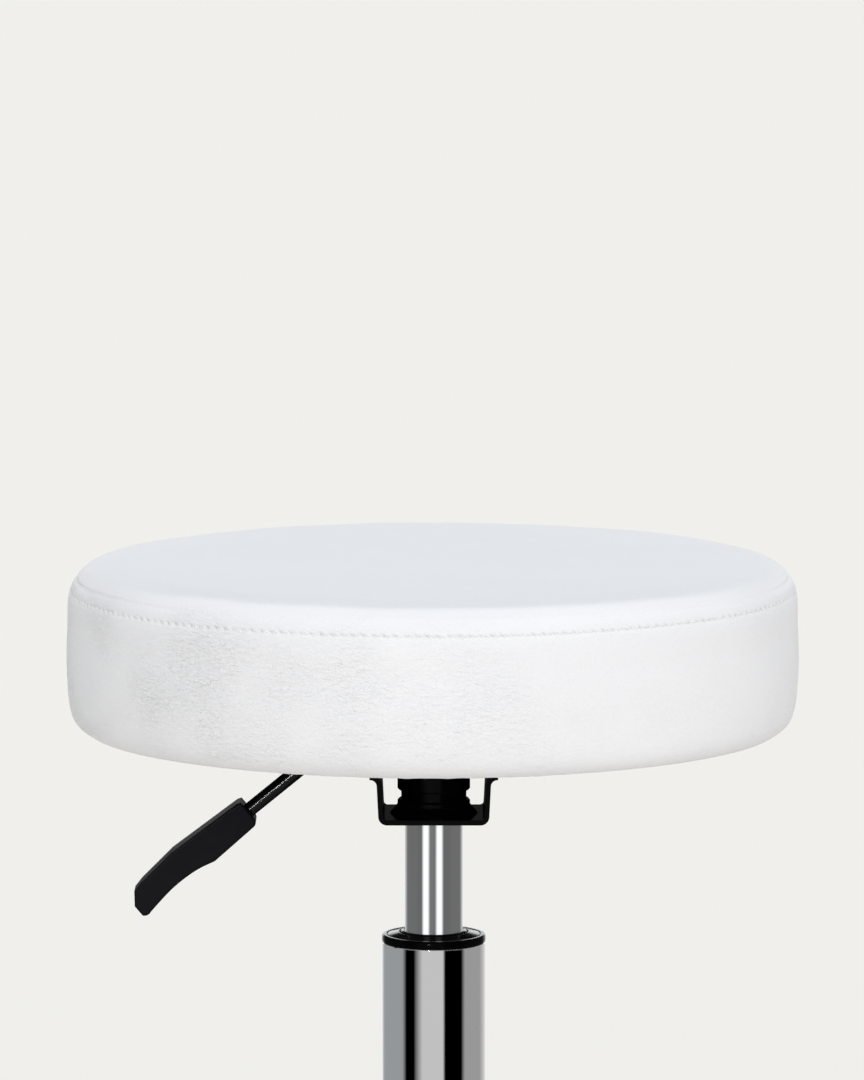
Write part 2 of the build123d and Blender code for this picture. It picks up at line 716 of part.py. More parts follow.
for number, (angle, trail) in enumerate(zip(leg_angles, trail_angles), start=1):
    stem_x, stem_y = on_circle(stem_circle, angle)
    trail_x, trail_y = on_circle(caster_trail, trail)
    along = plane_along(stem_x, stem_y, trail)
    across = plane_across(stem_x + trail_x, stem_y + trail_y, wheel_r, trail)
    axle_axis = Axis(across.origin, across.x_dir)

    build_hood(f"caster_{number}_hood", along, vertical_axis(stem_x, stem_y))
    build_axle(f"caster_{number}_axle", across, axle_axis)
    # left and right as seen looking along the trail, from the stem to the axle
    for hand, sign in (("left", 1), ("right", -1)):
        build_wheel(f"caster_{number}_wheel_{hand}", across, axle_axis, sign)
        build_tread(f"caster_{number}_tread_{hand}", across, axle_axis, sign)
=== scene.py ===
"""Height-adjustable stool: a round upholstered seat on a chromed column and a base with casters.

+Z is up and the column stands on the Z axis. The lever is on the -X side, the camera on the -Y side.
The CAD pieces get procedural materials. The seat cover is replaced by a cloth-simulated cushion
with a seam and topstitching. Cushion dimensions are in millimetres above the cover's underside.
"""
import json
import math

import bmesh
import bpy
import numpy as np
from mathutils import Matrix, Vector, noise


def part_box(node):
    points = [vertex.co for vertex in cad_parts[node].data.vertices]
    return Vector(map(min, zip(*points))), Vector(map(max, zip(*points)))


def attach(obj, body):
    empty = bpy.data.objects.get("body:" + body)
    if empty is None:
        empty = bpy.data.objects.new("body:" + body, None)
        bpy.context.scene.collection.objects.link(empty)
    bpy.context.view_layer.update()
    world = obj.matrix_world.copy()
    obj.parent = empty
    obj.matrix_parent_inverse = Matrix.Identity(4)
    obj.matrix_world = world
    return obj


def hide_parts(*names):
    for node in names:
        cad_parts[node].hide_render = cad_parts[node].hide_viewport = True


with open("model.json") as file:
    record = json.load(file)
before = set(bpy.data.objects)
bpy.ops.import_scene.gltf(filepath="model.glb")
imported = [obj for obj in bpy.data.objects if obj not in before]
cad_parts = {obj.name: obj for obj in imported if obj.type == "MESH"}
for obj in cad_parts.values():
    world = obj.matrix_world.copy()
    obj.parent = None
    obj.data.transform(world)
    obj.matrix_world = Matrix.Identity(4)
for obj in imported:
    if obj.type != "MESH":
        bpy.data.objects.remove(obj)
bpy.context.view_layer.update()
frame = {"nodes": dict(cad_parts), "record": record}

scene = bpy.context.scene

MM = 0.001                           # metres in a millimetre
PER_MM = (1000, 1000, 1000)          # mapping scale that gives textures millimetre coordinates
PER_METRE = (1, 1, 1)
WHITE = (1.0, 1.0, 1.0)


# =================================================================================================
# shader node helpers
# =================================================================================================
def rgba(color):
    """A grey value, RGB or RGBA as RGBA."""
    if isinstance(color, (int, float)):
        return (color, color, color, 1.0)
    return tuple(color) if len(color) == 4 else (*color, 1.0)


def srgb(*channels):
    """Linear RGBA from 0..255 sRGB channels."""
    parts = [c / 255.0 for c in channels]
    return (*(c / 12.92 if c <= 0.04045 else ((c + 0.055) / 1.055) ** 2.4 for c in parts), 1.0)


def toned(color, gain, lift=0.0):
    """The colour multiplied and lifted, up to full brightness."""
    return tuple(min(1.0, c * gain + lift) for c in color)


class NodeNet:
    """A short way to write shader nodes. Methods return the output socket of what they add."""

    def __init__(self, tree):
        self.tree = tree
        tree.nodes.clear()

    def node(self, kind, inputs=None, **props):
        node = self.tree.nodes.new(kind)
        for key, value in props.items():
            setattr(node, key, value)
        for key, value in (inputs or {}).items():
            if isinstance(value, bpy.types.NodeSocket):
                self.tree.links.new(value, node.inputs[key])
            else:
                node.inputs[key].default_value = value
        return node

    # ---- arithmetic
    def math(self, operation, first, second=0.0, third=None):
        inputs = {0: first, 1: second}
        if third is not None:
            inputs[2] = third
        return self.node("ShaderNodeMath", inputs, operation=operation).outputs[0]

    def add(self, total, *terms):
        for term in terms:
            total = self.math("ADD", total, term)
        return total

    def sub(self, first, second):
        return self.math("SUBTRACT", first, second)

    def mul(self, product, *factors):
        for factor in factors:
            product = self.math("MULTIPLY", product, factor)
        return product

    def split(self, vector):
        return tuple(self.node("ShaderNodeSeparateXYZ", {0: vector}).outputs)

    def warp(self, vector, offset, amount):
        """vector + offset * amount."""
        inputs = {0: offset, 1: amount, 2: vector}
        return self.node("ShaderNodeVectorMath", inputs, operation="MULTIPLY_ADD").outputs[0]

    # ---- colour and blending
    def ramp(self, factor, stops):
        """Linear ramp; stops are (position, grey or colour)."""
        node = self.node("ShaderNodeValToRGB", {0: factor})
        elements = node.color_ramp.elements
        while len(elements) > 1:
            elements.remove(elements[-1])
        elements[0].position, elements[0].color = stops[0][0], rgba(stops[0][1])
        for position, color in stops[1:]:
            elements.new(position).color = rgba(color)
        return node.outputs[0]

    def ramp_around(self, azimuth, stops):
        """Ramp over an azimuth in radians; stops are (degrees from -180 to 180, value)."""
        turn = self.add(self.math("DIVIDE", azimuth, 2 * math.pi), 0.5)
        return self.ramp(turn, [(0.5 + degrees / 360, value) for degrees, value in stops])

    def mix(self, factor, first, second, blend="MIX"):
        colors = [rgba(c) if isinstance(c, tuple) else c for c in (first, second)]
        inputs = {0: factor, 6: colors[0], 7: colors[1]}
        return self.node("ShaderNodeMix", inputs, data_type="RGBA", blend_type=blend).outputs[2]

    def tint(self, first, second):
        return self.mix(1.0, first, second, "MULTIPLY")

    def mix_value(self, factor, first, second):
        inputs = {0: factor, 2: first, 3: second}
        return self.node("ShaderNodeMix", inputs, data_type="FLOAT").outputs[0]

    # ---- textures
    def object_position(self):
        return self.node("ShaderNodeTexCoord").outputs["Object"]

    def coords(self, scale=PER_MM):
        inputs = {"Vector": self.object_position(), "Scale": scale}
        return self.node("ShaderNodeMapping", inputs).outputs[0]

    def noise(self, vector, scale, detail=3.0, rough=0.55, distort=0.0, output=0):
        inputs = {"Vector": vector, "Scale": scale, "Detail": detail, "Roughness": rough,
                  "Distortion": distort}
        return self.node("ShaderNodeTexNoise", inputs).outputs[output]

    def voronoi(self, vector, scale, feature="F1", rand=1.0):
        inputs = {"Vector": vector, "Scale": scale, "Randomness": rand}
        return self.node("ShaderNodeTexVoronoi", inputs, feature=feature).outputs[0]

    def wave(self, vector, scale, distort=0.0, detail=2.0, **props):
        inputs = {"Vector": vector, "Scale": scale, "Distortion": distort, "Detail": detail}
        return self.node("ShaderNodeTexWave", inputs, **props).outputs[0]

    # ---- normals
    def bump(self, height, distance, strength=1.0, normal=None):
        inputs = {"Height": height, "Distance": distance, "Strength": strength}
        if normal is not None:
            inputs["Normal"] = normal
        return self.node("ShaderNodeBump", inputs).outputs[0]

    def bevel(self, radius):
        return self.node("ShaderNodeBevel", {"Radius": radius}, samples=4).outputs[0]

    def edge_mask(self, bevel_normal):
        """1 on edges that the bevel normal rounds, 0 on flats."""
        true_normal = self.node("ShaderNodeNewGeometry").outputs["Normal"]
        dot = self.node("ShaderNodeVectorMath", {0: bevel_normal, 1: true_normal},
                        operation="DOT_PRODUCT")
        inputs = {"Value": self.sub(1.0, dot.outputs["Value"]), "From Min": 0.002, "From Max": 0.12}
        return self.node("ShaderNodeMapRange", inputs, clamp=True).outputs[0]

    # ---- shaders
    def principled(self, **inputs):
        named = {key.replace("_", " "): value for key, value in inputs.items()}
        return self.node("ShaderNodeBsdfPrincipled", named).outputs[0]

    def mix_shader(self, factor, first, second):
        return self.node("ShaderNodeMixShader", {0: factor, 1: first, 2: second}).outputs[0]

    def surface(self, shader, kind="ShaderNodeOutputMaterial"):
        self.node(kind, {"Surface": shader})


def material(name):
    made = bpy.data.materials.new(name)
    made.use_nodes = True
    return made, NodeNet(made.node_tree)


# =================================================================================================
# materials (bump distances and bevel radii in metres, texture scales per mm unless noted)
# =================================================================================================
def make_leather():
    """White coated fabric: soft pebble grain, faint wrinkles on the band, painted shade in the
    needle holes, the grain's valleys and the crinkles.
    """
    made, net = material("pu_leather_white")
    in_mm = net.coords()
    wobble = net.noise(in_mm, scale=0.4, detail=2.0, rough=0.5, output=1)
    pebble = net.voronoi(net.warp(in_mm, wobble, (1.1, 1.1, 0.8)), 0.62, "DISTANCE_TO_EDGE")
    pebble = net.math("SMOOTH_MIN", pebble, 0.30, 0.16)

    # wrinkles follow the band round, so they are drawn in height and angle
    x, y, z = net.split(net.object_position())
    angle = net.math("ARCTAN2", y, x)
    radius = net.math("SQRT", net.add(net.mul(x, x), net.mul(y, y)))
    round_scale, height_scale = 52.0, 820.0
    around = net.node("ShaderNodeCombineXYZ", {
        0: net.mul(net.math("COSINE", angle), round_scale),
        1: net.mul(net.math("SINE", angle), round_scale),
        2: net.mul(z, height_scale),
    }).outputs[0]
    bent = net.warp(around, wobble, (0.9, 0.9, 1.6))
    drawn = net.voronoi(bent, 0.42, "DISTANCE_TO_EDGE")
    drawn = net.math("SMOOTH_MIN", drawn, 0.22, 0.14)
    folds = net.noise(around, scale=0.30, detail=4.0, rough=0.6, distort=0.5)

    # the band mask rises from 0 outwards of this radius, in metres
    band_radius, band_rise = 0.1685, 190.0
    band = net.math("MAXIMUM", net.mul(net.sub(radius, band_radius), band_rise), 0.0)
    band = net.math("MINIMUM", band, 1.0)
    patches = net.ramp(net.noise(in_mm, scale=0.016, detail=2.0, rough=0.5),
                       [(0.38, 0.15), (0.62, 1.0)])
    mask = net.mul(band, patches)

    # fine crinkles round the band, most of them at -X, where the cover was pulled
    crinkle = net.noise(bent, scale=0.85, detail=3.0, rough=0.55, distort=0.9)
    crinkle = net.math("ABSOLUTE", net.sub(crinkle, 0.5))
    pulled = net.ramp(net.math("MULTIPLY_ADD", x, 2.5, 0.5),
                      [(0.08, 1.0), (0.5, 0.45), (0.8, 0.25)])
    crinkle_mask = net.mul(mask, pulled)

    height = net.add(
        net.mul(pebble, 0.25),
        net.mul(drawn, 0.7, mask),
        net.mul(folds, 2.0, net.add(net.mul(mask, 0.85), 0.12)),
        net.mul(crinkle, 22.0, crinkle_mask))
    normal = net.bump(height, distance=0.00011, strength=0.8)

    # soft soiling; painted shade in the grain's valleys, in the crinkles and in the needle holes
    cavity = net.node("ShaderNodeAttribute", attribute_name="cavity").outputs["Fac"]
    soil = net.noise(in_mm, scale=0.012, detail=5.0, rough=0.6)
    color = net.ramp(soil, [(0.3, (0.832, 0.8255, 0.8435)), (0.7, (0.850, 0.8425, 0.857))])
    # painted shade in the valleys between the grain's pebbles
    color = net.tint(color, net.ramp(pebble, [(0.0, 0.965), (0.14, 1.0)]))
    # painted shade in the valleys of the crinkles
    crinkle_shade = net.mix(crinkle_mask, WHITE, net.ramp(crinkle, [(0.0, 0.955), (0.04, 1.0)]))
    color = net.tint(color, crinkle_shade)
    # painted shade: the needle holes darkened to grey by the cavity attribute
    color = net.mix(net.mul(cavity, 0.8), color, (0.40, 0.40, 0.41))
    rough = net.ramp(net.noise(in_mm, scale=0.09, detail=4.0, rough=0.6),
                     [(0.3, 0.42), (0.7, 0.50)])
    rough = net.add(rough, net.mul(cavity, 0.3))
    net.surface(net.principled(Base_Color=color, Roughness=rough, Normal=normal, IOR=1.46,
                               Sheen_Weight=0.04, Sheen_Roughness=0.4))
    return made


def make_thread():
    """Twisted white sewing thread."""
    made, net = material("thread_white")
    in_mm = net.coords()
    twist = net.wave(in_mm, scale=1.6, distort=1.2, wave_type="BANDS", bands_direction="DIAGONAL")
    normal = net.bump(twist, distance=0.00012, strength=0.8)
    color = net.ramp(net.noise(in_mm, scale=0.8), [(0.3, (0.91, 0.91, 0.91)),
                                                   (0.7, (0.96, 0.96, 0.96))])
    net.surface(net.principled(Base_Color=color, Roughness=0.55, Normal=normal, Sheen_Weight=0.25))
    return made


def soften(net, shader, color, normal, face_on, grazing, start=0.42, end=0.76):
    """Mixes in a scattering surface: one share of it seen face on, another at a low angle."""
    facing = net.node("ShaderNodeLayerWeight", {"Blend": 0.5, "Normal": normal}).outputs["Facing"]
    matt = net.node("ShaderNodeBsdfDiffuse",
                    {"Color": color, "Roughness": 0.6, "Normal": normal}).outputs[0]
    share = net.ramp(facing, [(start, face_on), (end, grazing)])
    return net.mix_shader(share, shader, matt)


def make_gloss_paint(name, spec, base=(0.0012, 0.0012, 0.0014), rough=(0.10, 0.2), peel=0.00003,
                     wear=0.35, bevel=0.0006, matt=None):
    """Powder-coated steel: slight orange peel, dust, rubbed edges. matt goes to soften()."""
    made, net = material(name)
    in_mm = net.coords()
    rounded = net.bevel(bevel)
    orange_peel = net.noise(in_mm, scale=0.85, rough=0.5)
    dust = net.noise(in_mm, scale=0.16, detail=5.0, rough=0.65)
    normal = net.bump(orange_peel, distance=peel, strength=0.9, normal=rounded)
    rubbed = net.ramp(net.noise(in_mm, scale=0.4, detail=4.0, rough=0.7),
                      [(0.42, 0.0), (0.62, 1.0)])
    edge = net.mul(net.edge_mask(rounded), rubbed)
    color = net.mix(net.mul(edge, wear), base, (0.03, 0.03, 0.032))
    dusty = net.mul(net.ramp(dust, [(0.6, 0.0), (0.85, 1.0)]), 0.04)
    color = net.mix(dusty, color, (0.06, 0.06, 0.06))
    roughness = net.add(net.mix_value(dust, *rough), net.mul(edge, 0.15))
    shader = net.principled(Base_Color=color, Roughness=roughness, Normal=normal, IOR=1.5,
                            Specular_IOR_Level=spec)
    if matt:
        shader = soften(net, shader, color, normal, **matt)
    net.surface(shader)
    return made


def make_plastic(name, base, rough=(0.3, 0.42), grain=900.0, grain_height=0.00003, bevel=0.0005,
                 scuff=0.3, spec=0.5, matt=None):
    """Moulded plastic: fine grain (scale per metre), faint flow marks, corners lightened by scuffing
    and, where scuff is set high, by painted highlight.
    """
    made, net = material(name)
    in_metres, in_mm = net.coords(PER_METRE), net.coords()
    rounded = net.bevel(bevel)
    fine = net.noise(in_metres, scale=grain, detail=2.0, rough=0.6)
    flow = net.noise(in_mm, scale=0.06, detail=4.0, rough=0.6, distort=0.8)
    normal = net.bump(net.add(fine, net.mul(flow, 0.5)), distance=grain_height, strength=0.8,
                      normal=rounded)
    patch = net.ramp(net.noise(in_mm, scale=0.3, detail=5.0, rough=0.7),
                     [(0.45, 0.0), (0.65, 1.0)])
    edge = net.mul(net.edge_mask(rounded), patch)
    lighter = toned(base, gain=2.6, lift=0.015)
    # edges lightened: scuffing, and where scuff is set high, as on the lever, painted highlight
    # along the edges
    color = net.mix(net.mul(edge, scuff), base, lighter)
    dusty = net.ramp(net.noise(in_mm, scale=0.05, detail=6.0, rough=0.7),
                     [(0.5, 0.0), (0.8, 1.0)])
    color = net.mix(net.mul(dusty, 0.12), color, lighter)
    roughness = net.add(net.mix_value(flow, *rough), net.mul(dusty, 0.08))
    shader = net.principled(Base_Color=color, Roughness=roughness, Normal=normal, IOR=1.46,
                            Specular_IOR_Level=spec)
    if matt:
        shader = soften(net, shader, color, normal, **matt)
    net.surface(shader)
    return made


def make_chrome(name, rough=(0.015, 0.05), ripple_height=0.000096, bevel=0.0006):
    """Mirror chrome: almost flat, with a faint ripple, wipe marks and tiny pits."""
    plate = (0.90, 0.905, 0.915)
    made, net = material(name)
    in_mm = net.coords()
    rounded = net.bevel(bevel)
    ripple = net.noise(in_mm, scale=0.03, detail=2.0, rough=0.4)
    pit = net.ramp(net.voronoi(in_mm, 0.11), [(0.0, 1.0), (0.02, 1.0), (0.035, 0.0)])
    normal = net.bump(ripple, distance=ripple_height, strength=0.6, normal=rounded)
    wipe = net.noise(net.coords((180, 180, 900)), scale=0.5, detail=5.0, rough=0.7, distort=0.4)
    smear = net.noise(in_mm, scale=0.02, detail=5.0, rough=0.65)
    roughness = net.mix_value(net.mul(wipe, smear), rough[0], rough[1] * 2.2)
    roughness = net.add(roughness, net.mul(pit, 0.2))
    color = net.mix(net.mul(smear, 0.25), plate, toned(plate, gain=0.9))
    color = net.mix(net.mul(pit, 0.5), color, (0.4, 0.36, 0.32))
    net.surface(net.principled(Base_Color=color, Metallic=1.0, Roughness=roughness, Normal=normal))
    return made


def make_satin_tube():
    """Satin inner tube, drawn lengthwise, with a painted reflection of two strip lights either side
    of the viewer, which the surface emits.
    """
    made, net = material("satin_tube_plate")
    in_mm = net.coords()
    incoming = net.node("ShaderNodeNewGeometry").outputs["Incoming"]
    reflection = net.node("ShaderNodeTexCoord").outputs["Reflection"]
    refl_x, refl_y, _ = net.split(reflection)
    eye_x, eye_y, _ = net.split(incoming)
    # azimuth of the reflection relative to the viewer, 0 straight back to the eye
    dot = net.add(net.mul(refl_x, eye_x), net.mul(refl_y, eye_y))
    cross = net.sub(net.mul(eye_x, refl_y), net.mul(eye_y, refl_x))
    azimuth = net.math("ARCTAN2", cross, dot)
    # painted reflection of a light room behind, grey walls at the sides and two soft-edged strip
    # lights beside the lens
    wall, strip, room = 0.16, 1.2, 0.7
    band = net.ramp_around(azimuth, [
        (-180, room), (-160, room), (-130, wall), (-50, wall), (-40, strip), (-25, strip),
        (-15, wall), (5, wall), (15, strip), (30, strip), (40, wall), (130, wall),
        (160, room), (180, room)])
    draw = net.noise(net.coords((9000, 9000, 30)), scale=0.5, rough=0.6)
    smear = net.noise(in_mm, scale=0.04, detail=5.0, rough=0.65)
    normal = net.bump(draw, distance=0.000004, strength=0.5)
    wear = net.add(net.mul(draw, 0.5), net.mul(smear, 0.5))
    tone = net.tint(band, net.ramp(wear, [(0.3, (0.955, 0.965, 0.985)), (0.7, (0.99, 0.995, 1.0))]))
    metal = net.principled(Base_Color=(0.42, 0.425, 0.435, 1), Metallic=1.0,
                           Roughness=net.mix_value(smear, 0.2, 0.28), Normal=normal)
    # painted shade: the painted reflection is darker where something stands close
    near = net.node("ShaderNodeAmbientOcclusion", {"Distance": 0.03}, samples=6).outputs["AO"]
    strength = net.mul(net.ramp(near, [(0.0, 0.3), (0.5, 1.0)]), 0.95)
    painted_reflection_glow = net.node("ShaderNodeEmission", {"Color": tone, "Strength": strength}).outputs[0]
    # most of what the eye sees is the painted reflection, emitted by the surface; the rest is the
    # metal reflecting the room
    net.surface(net.mix_shader(0.88, metal, painted_reflection_glow))
    return made


def make_turned(name, base, rough):
    """Turned or plated metal with fine rings about Z."""
    made, net = material(name)
    in_mm = net.coords()
    rounded = net.bevel(0.0003)
    rings = net.wave(in_mm, scale=2.2, distort=0.4, wave_type="RINGS", rings_direction="Z")
    blot = net.noise(in_mm, scale=0.25, detail=5.0, rough=0.65)
    normal = net.bump(rings, distance=0.00001, strength=0.6, normal=rounded)
    color = net.mix(blot, toned(base, gain=0.82), base)
    net.surface(net.principled(Base_Color=color, Metallic=1.0,
                               Roughness=net.mix_value(blot, *rough), Normal=normal))
    return made


def make_rubber(name, base):
    """Scuffed, dusty rubber."""
    made, net = material(name)
    in_mm = net.coords()
    rounded = net.bevel(0.0006)
    scuff = net.noise(in_mm, scale=0.35, detail=6.0, rough=0.75)
    dust = net.noise(in_mm, scale=0.09, detail=5.0, rough=0.6)
    grit = net.noise(in_mm, scale=2.2, rough=0.6)
    normal = net.bump(net.add(net.mul(scuff, 0.7), net.mul(grit, 0.4)), distance=0.00012,
                      strength=0.7, normal=rounded)
    dusty = net.ramp(dust, [(0.35, 0.0), (0.75, 0.6)])
    color = net.mix(dusty, base, toned(base, gain=2.4, lift=0.03))
    scuffed = net.ramp(scuff, [(0.6, 0.0), (0.75, 0.5)])
    color = net.mix(scuffed, color, toned(base, gain=3, lift=0.05))
    net.surface(net.principled(Base_Color=color, Roughness=net.mix_value(scuff, 0.55, 0.75),
                               Normal=normal, IOR=1.5))
    return made


def make_foam():
    made, net = material("open_cell_foam")
    in_mm = net.coords()
    cells = net.voronoi(in_mm, 0.9)
    pores = net.voronoi(in_mm, 2.3, "DISTANCE_TO_EDGE")
    normal = net.bump(net.add(cells, pores), distance=0.0006, strength=0.9)
    color = net.ramp(cells, [(0.1, (0.62, 0.52, 0.27)), (0.55, (0.86, 0.78, 0.5))])
    net.surface(net.principled(Base_Color=color, Roughness=0.95, Normal=normal))
    return made


def make_plywood():
    """Birch plywood: grain stretched along one axis, darker plies stacked in Z."""
    made, net = material("birch_plywood")
    in_mm = net.coords()
    grain = net.wave(net.coords((100, 900, 100)), scale=0.7, distort=6.0, detail=3.0,
                     wave_type="BANDS", bands_direction="X")
    plies = net.wave(in_mm, scale=0.21, wave_type="BANDS", bands_direction="Z")
    color = net.ramp(grain, [(0.2, (0.53, 0.36, 0.19)), (0.8, (0.70, 0.52, 0.31))])
    color = net.mix(net.mul(plies, 0.35), color, (0.35, 0.21, 0.10))
    net.surface(net.principled(Base_Color=color, Roughness=0.7,
                               Normal=net.bump(grain, distance=0.0001, strength=0.5)))
    return made


def make_nonwoven():
    """Black nonwoven: fibres in two directions and a regular grid of dots."""
    made, net = material("nonwoven_black")
    in_mm = net.coords()
    fibres = [net.noise(net.coords(scale), scale=0.5, detail=4.0, rough=0.7, distort=2.0)
              for scale in ((2600, 300, 2600), (300, 2600, 2600))]
    dots = net.ramp(net.voronoi(in_mm, 0.55, rand=0.0), [(0.1, 0.0), (0.3, 1.0)])
    height = net.add(net.math("MAXIMUM", *fibres), net.mul(dots, 0.5))
    color = net.ramp(height, [(0.5, (0.006, 0.006, 0.007)), (1.2, (0.04, 0.04, 0.042))])
    net.surface(net.principled(Base_Color=color, Roughness=0.9, Sheen_Weight=0.15,
                               Normal=net.bump(height, distance=0.00025, strength=0.9)))
    return made


# by material slot; rough is a (lowest, highest) pair
MATERIALS = {
    "seat_leather": make_leather(),
    "thread": make_thread(),
    "pu_foam": make_foam(),
    "plywood": make_plywood(),
    "dust_fabric": make_nonwoven(),
    "zinc_steel": make_turned("zinc_plated_steel", (0.62, 0.63, 0.645), rough=(0.22, 0.42)),
    "black_oxide_steel": make_gloss_paint(
        "black_oxide_steel", spec=0.4, base=(0.012, 0.012, 0.0135), rough=(0.3, 0.5),
        peel=0.00002, wear=0.6, bevel=0.0004),
    "bracket_black": make_gloss_paint(
        "bracket_gloss_black", spec=0.07, matt=dict(face_on=0.0, grazing=0.97)),
    "lever_rod_black": make_gloss_paint(
        "lever_rod_gloss_black", spec=0.3, rough=(0.06, 0.09), peel=0.0000006, wear=0.15,
        matt=dict(face_on=0.0, grazing=0.93, start=0.14, end=0.42)),
    # scuff 0.9: the lightened edges are partly scuffing and mostly painted highlight along the
    # handle's edges
    "lever_plastic": make_plastic(
        "lever_moulded_black", (0.0072, 0.0066, 0.0090), rough=(0.24, 0.34), grain=1600.0,
        grain_height=0.00002, bevel=0.0006, scuff=0.9, spec=0.14,
        matt=dict(face_on=0.45, grazing=0.80)),
    "satin_tube": make_satin_tube(),
    "brass_valve": make_turned("valve_brass", (0.78, 0.57, 0.27), rough=(0.2, 0.35)),
    "gland_plastic": make_plastic("gland_moulded", (0.06, 0.06, 0.06)),
    "rod_chrome": make_chrome("rod_hard_chrome"),
    "aluminium_piston": make_turned("piston_aluminium", (0.80, 0.80, 0.81), rough=(0.25, 0.38)),
    "bumper_rubber": make_rubber("bumper_rubber", (0.012, 0.012, 0.012)),
    "column_chrome": make_chrome(
        "column_mirror_chrome", rough=(0.012, 0.035), ripple_height=0.000064),
    "collar_plastic": make_plastic(
        "collar_gloss_black", (0.0016, 0.0016, 0.0019), rough=(0.08, 0.14), grain=1200.0,
        grain_height=0.000004, bevel=0.0004, scuff=0.1, spec=0.3,
        matt=dict(face_on=0.88, grazing=0.0, start=0.66, end=0.80)),
    "base_chrome": make_chrome(
        "base_mirror_chrome", rough=(0.02, 0.06), ripple_height=0.00016, bevel=0.0012),
    "caster_nylon": make_plastic(
        "caster_nylon_black", (0.012, 0.012, 0.0135), rough=(0.34, 0.5), grain=1100.0,
        grain_height=0.00004, bevel=0.0008, scuff=0.4),
    "wheel_nylon": make_plastic(
        "wheel_nylon_black", (0.014, 0.014, 0.0155), rough=(0.32, 0.46), grain=1100.0,
        bevel=0.0006, scuff=0.4),
    "tread_rubber": make_rubber("tread_polyurethane", (0.055, 0.056, 0.06)),
}


def dress_cad_pieces():
    slot_of = {part["node"]: part["material_slot"] for part in frame["record"]["subparts"]}
    for name, obj in frame["nodes"].items():
        chosen = MATERIALS.get(slot_of.get(name))
        if chosen is None:
            continue
        if obj.material_slots:
            for slot in obj.material_slots:
                slot.link = "OBJECT"
                slot.material = chosen
        else:
            obj.data.materials.append(chosen)


dress_cad_pieces()


# =================================================================================================
# cushion dimensions, mm
# =================================================================================================
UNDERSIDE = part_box("seat_cover")[0].z / MM   # height of the cover's underside
CELLS = 55                           # grid cells across the top disc in the simulation
SEG = 4 * CELLS                      # segments round the simulated rings
FINE_SEG = 2 * SEG                   # round the finished top and band
SEAM_SEG = 6 * SEG                   # round the seam strip
STITCHES = SEG
THETA0 = -math.pi / 4                # angle of the first point of every ring

# profiles: (radius, height), from the top disc's border down and under to the inner hem
TOP = [(150.0, 81.9), (155.5, 81.85), (160.0, 81.45), (164.0, 80.6), (167.2, 79.1), (169.6, 77.3)]
SEAM = [TOP[-1], (171.2, 75.9), (172.4, 74.5), (173.5, 72.4), (174.6, 70.0), (175.2, 68.3),
        (175.8, 66.2), (176.2, 64.0)]
BAND = [SEAM[-1], (176.6, 60.5), (176.95, 56.0), (177.25, 51.0), (177.45, 46.0), (177.55, 41.0),
        (177.6, 36.0), (177.6, 31.0), (177.5, 27.0), (177.4, 23.0), (177.2, 19.0), (176.9, 15.2),
        (176.2, 11.6), (175.0, 8.2), (173.1, 5.3), (170.6, 3.1), (167.6, 1.6), (164.2, 0.75),
        (160.5, 0.22), (156.0, 0.0), (150.0, 0.0), (144.0, 0.0), (140.6, 0.0)]
TOP_RADIUS, TOP_HEIGHT = TOP[0]
BAND_TOP = BAND[0][1]
TOP_PANEL_Z = 75.5                   # points above this belong to the top panel

# heights of the finished seam strip's rings
SEAM_LEVELS = [77.3, 76.7, 76.2, 75.8, 75.45, 75.2, 74.95, 74.7, 74.45, 74.2, 73.8, 73.2, 72.4,
               71.5, 70.6, 69.9, 69.45, 69.1, 68.8, 68.5, 68.2, 67.9, 67.5, 66.9, 66.2, 65.2, 64.0]
STITCH_Z = 68.5                      # the topstitched row
CREASE_Z = 74.7                      # the join between the panels

COVER_THICKNESS = 1.3
# inner face of the cover above the band: (radius, height), upwards
INNER_TOP = [(173.6, 68.4), (171.0, 73.4), (168.2, 76.0), (164.0, 78.4), (160.0, 79.3),
             (TOP_RADIUS, 79.7)]
INNER_CROWN = 0.3
PULL_X = -0.6                        # the cover is pulled over slightly towards the lever

CLOTH_FRAMES = 20
MOVE_CAP = 4.2                       # limit on how far the filling may push a point


# =================================================================================================
# geometry helpers
# =================================================================================================
def new_object(name, points, faces):
    """Smooth mesh object from points in mm above the cover's underside."""
    mesh = bpy.data.meshes.new(name)
    mesh.from_pydata(((points + [0, 0, UNDERSIDE]) * MM).tolist(), [], faces)
    mesh.validate()
    mesh.update()
    mesh.polygons.foreach_set("use_smooth", [True] * len(mesh.polygons))
    obj = bpy.data.objects.new(name, mesh)
    scene.collection.objects.link(obj)
    return obj


def fade(value, start, span):
    """0 at start, 1 a (signed) span further on, clamped."""
    return np.clip((value - start) / span, 0, 1)


def bell(distance, width):
    return np.exp(-(distance / width) ** 2)


def disc_map(cells):
    """Square grid mapped to a disc: (radius 0..1, angle) of each grid point."""
    out = np.zeros((cells + 1, cells + 1, 2))
    for i in range(cells + 1):
        for j in range(cells + 1):
            x, y = 2 * i / cells - 1, 2 * j / cells - 1
            if x == 0 and y == 0:
                continue
            if x > -y:
                if x > y:
                    radius, eighths = x, y / x
                else:
                    radius, eighths = y, 2 - x / y
            elif x < y:
                radius, eighths = -x, 4 + y / x
            else:
                radius, eighths = -y, 6 - x / y
            out[i, j] = (radius, (math.pi / 4) * eighths)
    return out


def border(cells):
    """Grid points on the disc's border, counter-clockwise from -45 degrees."""
    rising, falling = range(cells), range(cells, 0, -1)
    return ([(cells, j) for j in rising] + [(i, cells) for i in falling]
            + [(0, j) for j in falling] + [(i, 0) for i in rising])


